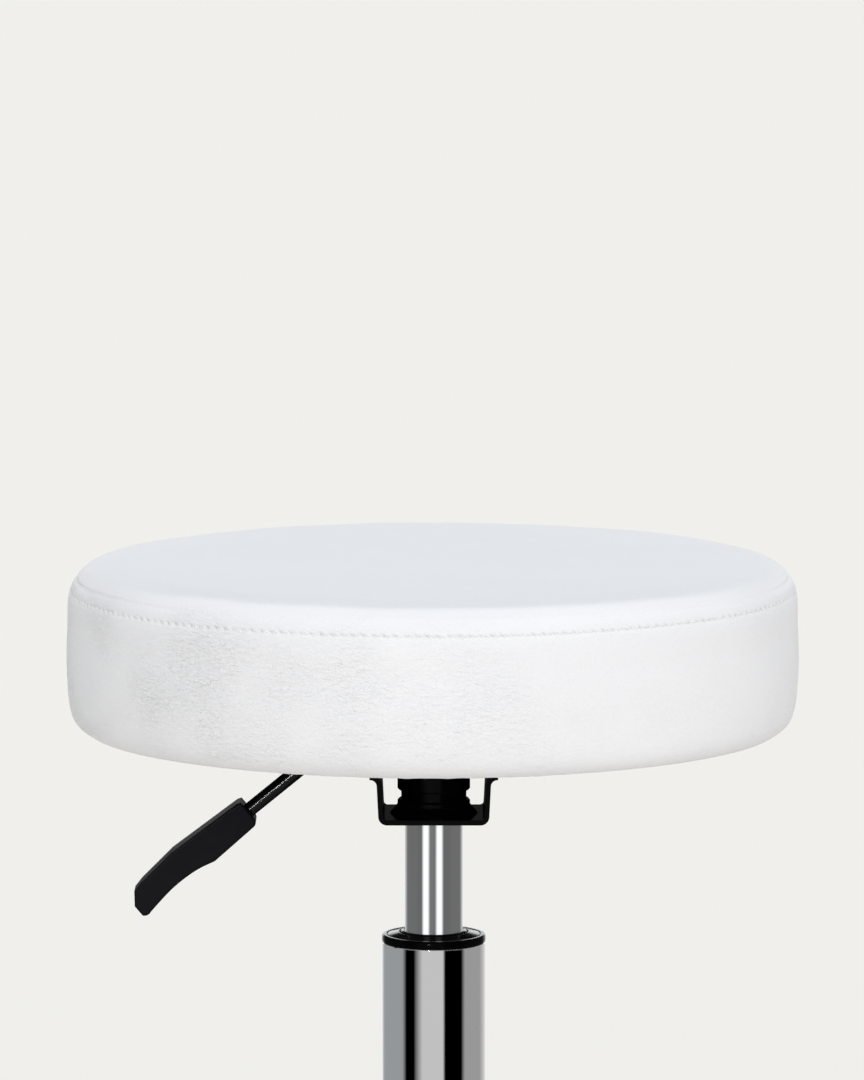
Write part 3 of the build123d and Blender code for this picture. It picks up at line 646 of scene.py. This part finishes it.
def disc_points(cells, radius, height, crown=0.0):
    grid = disc_map(cells)
    reach, angle = grid[..., 0] * radius, grid[..., 1]
    heights = height + crown * (1 - grid[..., 0] ** 2)
    return np.stack([reach * np.cos(angle), reach * np.sin(angle), heights], axis=-1)


def spline(points, position):
    """Catmull-Rom through points at a fractional index."""
    known = np.asarray(points, float)
    i = int(min(max(math.floor(position), 0), len(known) - 2))
    f = position - i
    p1, p2 = known[i], known[i + 1]
    p0 = known[i - 1] if i > 0 else 2 * p1 - p2
    p3 = known[i + 2] if i + 2 < len(known) else 2 * p2 - p1
    return 0.5 * ((2 * p1) + (-p0 + p2) * f + (2 * p0 - 5 * p1 + 4 * p2 - p3) * f * f
                  + (-p0 + 3 * p1 - 3 * p2 + p3) * f ** 3)


def ring_points(radius, height, count):
    angle = THETA0 + 2 * math.pi * np.arange(count) / count
    return np.stack([radius * np.cos(angle), radius * np.sin(angle),
                     np.full(count, float(height))], axis=1)


def lathe(profile, count, steps=1):
    """Rings of points along a profile, with steps between its points."""
    total = (len(profile) - 1) * steps
    return np.array([ring_points(*spline(profile, k / steps), count) for k in range(total + 1)])


def disc_faces(start, cells):
    corners = [start + i * (cells + 1) + j for i in range(cells) for j in range(cells)]
    return [(a, a + cells + 1, a + cells + 2, a + 1) for a in corners]


def border_row(start, cells):
    return [start + i * (cells + 1) + j for i, j in border(cells)]


def ring_rows(start, rows, count):
    """Point indices of consecutive rings."""
    return [[start + k * count + s for s in range(count)] for k in range(rows)]


def quads(rows):
    """Faces between consecutive rings of equal count."""
    faces = []
    for upper, lower in zip(rows, rows[1:]):
        for s in range(len(upper)):
            e = (s + 1) % len(upper)
            faces.append((upper[s], lower[s], lower[e], upper[e]))
    return faces


def bridge(upper, lower):
    """Triangles between rings whose counts differ by a whole factor."""
    faces = []
    fine_above = len(upper) > len(lower)
    fine, coarse = (upper, lower) if fine_above else (lower, upper)
    factor = len(fine) // len(coarse)
    half = (factor + 1) // 2
    for s in range(len(coarse)):
        first, second = coarse[s], coarse[(s + 1) % len(coarse)]
        run = [fine[(s * factor + m) % len(fine)] for m in range(factor + 1)]
        for m in range(factor):
            triangle = (first if m < half else second, run[m], run[m + 1])
            faces.append(triangle[::-1] if fine_above else triangle)
        faces.append((second, run[half], first) if fine_above else (first, run[half], second))
    return faces


# =================================================================================================
# cloth simulation of the filled cushion
# =================================================================================================
def tailored(points):
    """The unfilled pattern at finished points: a little smaller than the cushion."""
    cut = points.copy()
    radius = np.hypot(points[..., 0], points[..., 1])
    z = points[..., 2]
    inward = fade(radius, 168.0, -30.0)
    drop = 2.6 * inward * inward * (3 - 2 * inward)
    cut[..., 2] -= np.where(z > TOP_PANEL_Z, drop, 0.0)
    narrowing = 0.9 * (fade(z, 0.0, 14.0) * fade(z, BAND_TOP, -12.0))
    narrowing = np.where((z > 2.0) & (z < BAND_TOP), narrowing, 0.0)
    factor = np.where(radius > 1, (radius - narrowing) / np.maximum(radius, 1), 1)
    cut[..., 0] *= factor
    cut[..., 1] *= factor
    return cut


def pin_top(points):
    return fade(np.hypot(points[..., 0], points[..., 1]), 160.0, 9.0)


def pin_band(points):
    z = points[..., 2]
    return np.maximum(fade(z, 56.0, 7.0), fade(z, 12.0, -8.0))


def roughen_cut(points, pins):
    """Small repeatable unevenness: pattern pieces are never cut perfectly round."""
    for k, pin in enumerate(pins):
        if pin < 1.0:
            x, y, z = points[k]
            shift = 0.35 * noise.noise(Vector((x * 0.022, y * 0.022, z * 0.03 + 7.3)))
            radius = math.hypot(x, y)
            if z > TOP_PANEL_Z:
                points[k, 2] += shift * (1 - pin)
            elif radius > 1:
                points[k, 0] += shift * (1 - pin) * x / radius
                points[k, 1] += shift * (1 - pin) * y / radius


def inflate(points, faces, pins):
    """Blows the pattern up under pressure and returns where its points end."""
    obj = new_object("upholstery_pattern", points, faces)
    group = obj.vertex_groups.new(name="sewn")
    for k, pin in enumerate(pins):
        if pin > 0:
            group.add([k], float(pin), "REPLACE")
    cloth = obj.modifiers.new("Cloth", "CLOTH")
    settings = cloth.settings
    settings.quality = 5
    settings.mass = 0.35
    settings.tension_stiffness = 40
    settings.compression_stiffness = 40
    settings.shear_stiffness = 12
    settings.bending_stiffness = 1.5
    settings.vertex_group_mass = "sewn"
    settings.use_pressure = True
    settings.uniform_pressure_force = 4.0
    settings.effector_weights.gravity = 0.0
    cloth.collision_settings.use_collision = False
    cloth.collision_settings.use_self_collision = False
    scene.frame_start, scene.frame_end = 1, CLOTH_FRAMES
    for f in range(1, CLOTH_FRAMES + 1):
        scene.frame_set(f)
    evaluated = obj.evaluated_get(bpy.context.evaluated_depsgraph_get())
    filled = np.zeros(len(points) * 3)
    evaluated.to_mesh().vertices.foreach_get("co", filled)
    evaluated.to_mesh_clear()
    bpy.data.objects.remove(obj, do_unlink=True)
    scene.frame_set(1)
    return filled.reshape(-1, 3) / MM - [0, 0, UNDERSIDE]


def run_cloth():
    """Offsets of the filled disc, top rings and band rings from their profiles."""
    disc = disc_points(CELLS, TOP_RADIUS, TOP_HEIGHT)
    top = lathe(TOP, SEG)[1:]
    seam = lathe([SEAM[0], SEAM[2], SEAM[5], SEAM[7]], SEG)[1:-1]
    band = lathe(BAND, SEG)
    pieces = [disc, top, seam, band]
    weights = [pin_top(disc), pin_top(top), np.ones(seam.shape[:-1]), pin_band(band)]
    pins = np.concatenate([w.reshape(-1) for w in weights] + [[1.0]])
    centre_point = np.zeros((1, 3))      # closes the underside
    pattern = np.concatenate([tailored(p).reshape(-1, 3) for p in pieces] + [centre_point])
    finished = np.concatenate([p.reshape(-1, 3) for p in pieces] + [centre_point])

    starts = np.cumsum([0] + [p.size // 3 for p in pieces]).tolist()
    rows = [border_row(0, CELLS)]
    for start, rings in zip(starts[1:], pieces[1:]):
        rows += ring_rows(start, len(rings), SEG)
    centre, hem = starts[-1], rows[-1]
    faces = disc_faces(0, CELLS) + quads(rows)
    faces += [(hem[s], centre, hem[(s + 1) % SEG]) for s in range(SEG)]

    roughen_cut(pattern, pins)
    move = inflate(pattern, faces, pins) - pattern
    distance = np.linalg.norm(move, axis=1)
    kept = np.where(distance > 1e-6,
                    MOVE_CAP * np.tanh(distance / MOVE_CAP) / np.maximum(distance, 1e-6), 1.0)
    offsets = pattern + move * kept[:, None] - finished
    disc_off, top_off, _, band_off = (
        offsets[a:b].reshape(piece.shape) for a, b, piece in zip(starts, starts[1:], pieces))
    edge = np.array([disc_off[i, j] for i, j in border(CELLS)])
    return disc_off, np.concatenate([edge[None], top_off]), band_off


# =================================================================================================
# finished cushion surfaces
# =================================================================================================
def mid_open(samples, axis):
    """Doubles the samples along an axis with cubic midpoints; the ends stay."""
    samples = np.moveaxis(samples, axis, 0)
    out = np.zeros((2 * samples.shape[0] - 1, *samples.shape[1:]))
    out[::2] = samples
    longer = np.concatenate([2 * samples[:1] - samples[1:2], samples,
                             2 * samples[-1:] - samples[-2:-1]])
    out[1::2] = (9 * (longer[1:-2] + longer[2:-1]) - (longer[:-3] + longer[3:])) / 16
    return np.moveaxis(out, 0, axis)


def mid_ring(samples):
    """Doubles the samples round the rings, axis 1."""
    following, previous = np.roll(samples, -1, 1), np.roll(samples, 1, 1)
    out = np.zeros((samples.shape[0], samples.shape[1] * 2, *samples.shape[2:]))
    out[:, ::2] = samples
    out[:, 1::2] = (9 * (samples + following) - (previous + np.roll(samples, -2, 1))) / 16
    return out


def refine(disc_off, top_off, band_off):
    """One subdivision of the simulated shape."""
    top = lathe(TOP, FINE_SEG, 2) + mid_open(mid_ring(top_off), 0)
    band = lathe(BAND, FINE_SEG, 2) + mid_open(mid_ring(band_off), 0)
    disc = disc_points(2 * CELLS, TOP_RADIUS, TOP_HEIGHT) + mid_open(mid_open(disc_off, 0), 1)
    for k, (i, j) in enumerate(border(2 * CELLS)):
        disc[i, j] = top[0, k]
    return disc, top, band


SEAM_CURVE = np.array([spline(SEAM, t) for t in np.linspace(0, len(SEAM) - 1, 200)])


def seam_radius(z):
    return np.interp(z, SEAM_CURVE[::-1, 1], SEAM_CURVE[::-1, 0])


def hole_variation(s):
    """A repeatable value from -1 to 1 for the needle hole nearest to s."""
    rate, phase = 12.9, 0.7
    hole = np.floor(s + 0.5)
    return np.sin(hole * rate + phase) * np.cos(hole * rate * 0.37 + 2.1 * phase)


def hole_distance(s, z):
    """Distance from the nearest needle hole in stitches; a hole is a short slanting slit."""
    f = s - np.floor(s)
    return np.where(f > 0.5, f - 1.0, f) + (z - STITCH_Z) * 0.17


def seam_relief(s, z):
    """Outward relief in mm at s, the position round the seam in stitches, and height z."""
    below = z - STITCH_Z
    hole = bell(hole_distance(s, z), 0.13) * bell(below, 0.95) * (1.0 + 0.45 * hole_variation(s))
    # the join is pressed flat at the front and back (-Y, +Y) and opens towards the sides
    opening = 0.22 + 0.78 * np.abs(np.cos(THETA0 + 2 * np.pi * s / STITCHES)) ** 3
    # allowance folded under between the crease and the stitches
    allowance = bell(z - 71.9, 1.7) * (0.45 + 0.55 * opening)
    lump = np.cos(2 * np.pi * (s - np.floor(s) - 0.5))
    return (-0.22 * bell(below, 0.9)                      # groove along the stitches
            - 0.42 * hole
            - 0.62 * bell(z - CREASE_Z, 1.05) * opening   # crease
            + 0.42 * allowance
            + 0.20 * bell(z - 76.3, 1.0)                  # roll above the crease
            + 0.16 * bell(z - 66.3, 1.1)                  # lip below the stitches
            + 0.05 * lump * bell(below, 2.4))             # swelling between the holes


def seam_cavity(s, z):
    """How deep in a needle hole a point lies, 0 to 1; the leather shader paints shade in the holes
    by this value.
    """
    depth = 0.75 + 0.25 * hole_variation(s)
    return np.clip(bell(hole_distance(s, z), 0.11) * bell(z - STITCH_Z, 0.85) * depth * 0.74, 0, 1)


def seam_strip(top_edge, band_edge):
    """Rings of the seam strip between the two edges, and their cavity values."""
    def resample(ring):
        """Three points for each of the ring's segments."""
        return np.array([ring[k // 3] * (1 - (k % 3) / 3)
                         + ring[(k // 3 + 1) % FINE_SEG] * ((k % 3) / 3) for k in range(SEAM_SEG)])

    upper, lower = resample(top_edge), resample(band_edge)
    upper_off = np.hypot(upper[:, 0], upper[:, 1]) - TOP[-1][0]
    lower_off = np.hypot(lower[:, 0], lower[:, 1]) - BAND[0][0]
    angle = THETA0 + 2 * math.pi * np.arange(SEAM_SEG) / SEAM_SEG
    along = np.arange(SEAM_SEG) / (SEAM_SEG / STITCHES)
    rows, cavities = [], []
    for k, z in list(enumerate(SEAM_LEVELS))[1:-1]:
        t = k / (len(SEAM_LEVELS) - 1)
        # what the simulation did at both edges fades in across the strip
        offset = upper_off * (1 - t) + lower_off * t
        offset_z = (upper[:, 2] - TOP[-1][1]) * (1 - t) + (lower[:, 2] - BAND_TOP) * t
        strength = min(1.0, 4 * t, 4 * (1 - t))
        relief = seam_relief(along, z) * strength
        # the relief points more upwards near the top panel
        lean = fade(z, 72.0, 5.0)
        radius = seam_radius(z) + offset + relief * (0.98 - 0.2 * lean)
        height = z + offset_z + relief * (0.05 + 0.5 * lean)
        rows.append(np.stack([radius * np.cos(angle), radius * np.sin(angle), height], axis=1))
        cavities.append(seam_cavity(along, z) * strength)
    return np.array(rows), np.array(cavities)


def finish_points(points):
    """Slow unevenness of sewing and filling, one function for all so that nothing splits."""
    done = points.copy()
    x, y, z = points[:, 0], points[:, 1], points[:, 2]
    radius = np.hypot(x, y)
    angle = np.arctan2(y, x)
    near_seam = bell(z - 71.0, 7.0) * fade(radius, 150, 15)
    # the seam runs slightly low on the lever's side
    done[:, 2] += near_seam * (0.55 * np.cos(angle) + 0.16 * np.sin(3 * angle + 0.7)
                               + 0.12 * np.sin(7 * angle + 2.1))
    swell = np.zeros(len(points))
    for k in range(len(points)):
        cos, sin = math.cos(angle[k]), math.sin(angle[k])
        swell[k] = noise.noise(Vector((cos * 5.5, sin * 5.5, z[k] * 0.035))) * 0.28
        if radius[k] > 150:
            ripple = noise.noise(Vector((cos * 16, sin * 16, z[k] * 0.05 + 3)))
            swell[k] += ripple * 0.12 * (0.4 + 0.6 * near_seam[k])
    on_side = fade(radius, 168, 6) * fade(z, 0, 6)
    factor = (radius + swell * on_side) / np.maximum(radius, 1e-6)
    done[:, 0] *= factor
    done[:, 1] *= factor
    done[:, 2] += swell * 0.7 * fade(z, TOP_PANEL_Z, 5)
    # gathers where the cover is turned under the board
    gather = np.sin(angle * 61 + 2.2 * np.sin(angle * 5)) * 0.5 + np.sin(angle * 97 + 1.3) * 0.3
    hem = bell(radius - 159.0, 4.5) * (z < 4)
    done[:, 2] += 0.36 * gather * hem - 0.10 * hem
    done[:, 0] += PULL_X
    return done


def inner_profile():
    """Inner face of the cover from the hem up: (radius, height)."""
    profile = []
    for radius, z in BAND[::-1]:
        if z > 2:
            radius -= COVER_THICKNESS
            height = z + COVER_THICKNESS if z < 12 else z
        else:
            height = COVER_THICKNESS
        profile.append((min(radius, 175.4 if z > 20 else 173.6), height))
    return profile + INNER_TOP


def build_upholstery():
    disc, top, band = refine(*run_cloth())
    seam, seam_cavities = seam_strip(top[-1], band[0])
    inner = np.array([ring_points(radius, z, SEG) for radius, z in inner_profile()])
    inner_disc = disc_points(CELLS, *INNER_TOP[-1], INNER_CROWN)
    pieces = [disc, top[1:], seam, band, inner, inner_disc]
    starts = np.cumsum([0] + [p.size // 3 for p in pieces]).tolist()
    _, top_start, seam_start, band_start, inner_start, inner_disc_start, total = starts

    top_rows = [border_row(0, 2 * CELLS)] + ring_rows(top_start, len(top) - 1, FINE_SEG)
    seam_rows = ring_rows(seam_start, len(seam), SEAM_SEG)
    band_rows = ring_rows(band_start, len(band), FINE_SEG)
    inner_rows = ring_rows(inner_start, len(inner), SEG)
    faces = disc_faces(0, 2 * CELLS) + quads(top_rows)
    faces += bridge(top_rows[-1], seam_rows[0]) + quads(seam_rows)
    faces += bridge(seam_rows[-1], band_rows[0]) + quads(band_rows)
    faces += bridge(band_rows[-1], inner_rows[0]) + quads(inner_rows)
    # the inner disc faces down
    faces += [(f[0],) + f[:0:-1] for f in disc_faces(inner_disc_start, CELLS)]
    # the last inner ring and the inner disc's border share their places
    shared = dict(zip(inner_rows[-1], border_row(inner_disc_start, CELLS)))
    faces = [tuple(shared.get(i, i) for i in f) for f in faces]

    points = np.concatenate([p.reshape(-1, 3) for p in pieces])
    points[:inner_start] = finish_points(points[:inner_start])
    points[inner_start:, 0] += PULL_X
    # cavity carries the painted shade of the needle holes to the leather shader
    cavity = np.zeros(total)
    cavity[seam_start:band_start] = seam_cavities.reshape(-1)
    used = sorted({i for f in faces for i in f})
    index = {old: new for new, old in enumerate(used)}
    obj = new_object("seat_upholstery", points[used], [tuple(index[i] for i in f) for f in faces])
    attribute = obj.data.attributes.new("cavity", "FLOAT", "POINT")
    attribute.data.foreach_set("value", cavity[used].astype(np.float32))
    obj.data.materials.append(MATERIALS["seat_leather"])
    return obj


def build_stitches():
    """Topstitching: one thread loop per stitch, dipping into its holes."""
    steps, sides = 7, 8
    start, end = 0.12, 0.88          # part of the stitch pitch the thread covers
    row_radius = float(seam_radius(STITCH_Z))
    points, faces = [], []
    for k in range(STITCHES):
        jitter = 0.03 * math.sin(k * 12.9898)
        first, last = (THETA0 + 2 * math.pi * (k + part + jitter * 0.3) / STITCHES
                       for part in (start, end))
        rings = []
        for i in range(steps + 1):
            t = i / steps
            angle = first + (last - first) * t
            bow = math.sin(math.pi * t) ** 0.55
            taper = 1.0 if 0 < i < steps else 0.55
            thread = (0.30 + 0.10 * math.sin(math.pi * t)) * taper
            core_radius = row_radius - 0.62 + 0.52 * bow
            core_z = STITCH_Z + 0.08 * math.sin(k * 7.77) - 0.75 * (t - 0.5)
            rings.append(list(range(len(points), len(points) + sides)))
            for s in range(sides):
                turn = 2 * math.pi * s / sides
                radius = core_radius + thread * math.cos(turn)
                points.append((radius * math.cos(angle), radius * math.sin(angle),
                               core_z + thread * math.sin(turn)))
        for near, far in zip(rings, rings[1:]):
            for s in range(sides):
                e = (s + 1) % sides
                faces.append((near[s], near[e], far[e], far[s]))
        faces.append(tuple(rings[0][::-1]))
        faces.append(tuple(rings[-1]))
    obj = new_object("seat_topstitching", finish_points(np.array(points)), faces)
    work = bmesh.new()
    work.from_mesh(obj.data)
    bmesh.ops.recalc_face_normals(work, faces=work.faces)
    work.to_mesh(obj.data)
    work.free()
    obj.data.materials.append(MATERIALS["thread"])
    return obj


upholstery = build_upholstery()
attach(upholstery, "seat")
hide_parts("seat_cover")

stitches = build_stitches()
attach(stitches, "seat")


# =================================================================================================
# stage: floor, surroundings, lights, camera
# =================================================================================================
def make_floor():
    """Translucent paper, partly lit from below."""
    bpy.ops.mesh.primitive_circle_add(vertices=128, radius=120.0, fill_type="NGON",
                                      location=(0, 0, 0))
    floor = bpy.context.object
    floor.name = "studio_floor"
    made, net = material("studio_floor_paper")
    in_metres = net.coords(PER_METRE)
    tone = net.noise(in_metres, scale=3.0, detail=4.0, rough=0.5)
    color = net.ramp(tone, [(0.3, (0.619, 0.619, 0.599)), (0.7, (0.621, 0.621, 0.601))])
    grit = net.noise(in_metres, scale=900.0, detail=2.0, rough=0.5)
    net.surface(net.principled(
        Base_Color=color, Roughness=0.95, Specular_IOR_Level=0.0,
        Normal=net.bump(grit, distance=0.0001, strength=0.2),
        Emission_Color=(0.301, 0.268, 0.240, 1), Emission_Strength=1.0))
    floor.data.materials.append(made)
    floor.visible_glossy = False


def reflected_set(net, x, y, z):
    """Colour of the studio as shiny things see it; x, y, z is the direction looked in."""
    azimuth = net.math("ARCTAN2", x, net.mul(y, -1.0))
    # cards and flags round the set: degrees from the camera side, brightness
    back, side, flag, card = 0.9, 0.35, 0.0, 0.6
    cards = [(-180, back), (-145, side), (-75, side), (-65, flag), (-45, flag), (-25, card),
             (20, card), (25, flag), (65, flag), (75, side), (125, side), (180, back)]
    cool, warm = (0.95, 0.985, 1.0), (1.0, 0.992, 0.98)
    ring = net.ramp_around(azimuth, [
        (degrees, tuple(value * c for c in (cool if degrees < -60 else warm)))
        for degrees, value in cards])
    downward = net.mul(z, -1.0)
    up_mask = net.ramp(z, [(0.30, 0.0), (0.55, 1.0)])
    down_mask = net.ramp(downward, [(0.42, 0.0), (0.75, 1.0)])
    over = net.ramp(z, [(0.4, (0.42, 0.43, 0.45)), (0.62, (0.55, 0.56, 0.58)),
                        (0.7, (1.25, 1.26, 1.28)), (0.92, (1.25, 1.26, 1.28)),
                        (0.97, (0.6, 0.6, 0.62))])
    under = net.ramp(downward, [(0.4, (0.35, 0.35, 0.34)), (1.0, (0.62, 0.61, 0.59))])
    color = net.mix(down_mask, net.mix(up_mask, ring, over), under)
    # the lit backdrop behind the set with a dark gap under it and a dark valance over it
    behind = net.ramp(net.math("ABSOLUTE", net.math("DIVIDE", azimuth, math.pi)),
                      [(0.80, 0.0), (0.90, 1.0)])
    lit = net.ramp(z, [(0.02, 0.0), (0.05, 1.0), (0.22, 1.0), (0.27, 0.0)])
    dark = net.ramp(net.math("MULTIPLY_ADD", z, 0.5, 0.5), [
        (0.4725, 0.0), (0.4875, 1.0), (0.505, 1.0), (0.515, 0.0),
        (0.615, 0.0), (0.635, 1.0), (0.81, 1.0), (0.85, 0.0)])
    color = net.mix(net.mul(behind, dark), color, (0.03, 0.03, 0.03))
    return net.mix(net.mul(behind, lit), color, (1.60, 1.62, 1.65))


def make_world():
    """Separate surroundings for the camera, for shiny surfaces and for diffuse light."""
    world = bpy.data.worlds.new("studio")
    scene.world = world
    world.use_nodes = True
    net = NodeNet(world.node_tree)
    x, y, z = net.split(net.node("ShaderNodeTexCoord").outputs["Generated"])
    ambient = net.ramp(z, [(0.0, (0.520, 0.516, 0.532)), (0.5, (0.572, 0.602, 0.622)),
                           (1.0, (0.620, 0.668, 0.692))])
    seen, diffuse, glossy = (
        net.node("ShaderNodeBackground", {"Color": color}).outputs[0]
        for color in (srgb(240, 239, 235), ambient, reflected_set(net, x, y, z)))
    ray = net.node("ShaderNodeLightPath").outputs
    shader = net.mix_shader(ray["Is Glossy Ray"], diffuse, glossy)
    shader = net.mix_shader(ray["Is Camera Ray"], shader, seen)
    net.surface(shader, "ShaderNodeOutputWorld")


def sun(name, towards, strength, angle, color=WHITE, glossy=False):
    """Sun standing in the direction towards; angle is its apparent size in degrees."""
    data = bpy.data.lights.new(name, "SUN")
    data.energy, data.angle, data.color = strength, math.radians(angle), color
    obj = bpy.data.objects.new(name, data)
    obj.rotation_mode = "QUATERNION"
    obj.rotation_quaternion = Vector(towards).to_track_quat("Z", "Y")
    scene.collection.objects.link(obj)
    obj.visible_glossy = glossy
    return obj


def make_lights():
    sun("key_front", (0.18, -1.0, 0.55), strength=1.38, angle=50)
    sun("top_soft", (0.0, 0.15, 1.0), strength=0.24, angle=70, color=(0.84, 0.96, 1.0))
    sun("back_left", (-0.8, 0.7, 0.8), strength=0.18, angle=60)
    sun("back_right", (0.9, 0.6, 0.8), strength=0.14, angle=60)
    # seen only as a small highlight
    pinlight = sun("lens_pinlight", (-0.184, -0.979, 0.085), strength=0.42, angle=3.0, glossy=True)
    pinlight.visible_diffuse = False


def make_camera():
    """Long lens on the -Y side, tilted down at a point near the Z axis."""
    aim_x, aim_z = -0.00087, 0.5069
    distance = 3.792
    tilt = math.radians(7.03)
    data = bpy.data.cameras.new("product_camera")
    camera = bpy.data.objects.new("product_camera", data)
    scene.collection.objects.link(camera)
    data.sensor_width = 36.0
    data.lens = 261.67
    data.clip_start, data.clip_end = 0.1, 300.0
    camera.location = (aim_x, -distance * math.cos(tilt), aim_z + distance * math.sin(tilt))
    camera.rotation_euler = (math.pi / 2 - tilt, 0, 0)
    scene.camera = camera


make_floor()
make_world()
make_lights()
make_camera()

scene.view_settings.view_transform = "Standard"
scene.view_settings.look = "None"
scene.view_settings.exposure = 0.0
scene.view_settings.gamma = 1.0
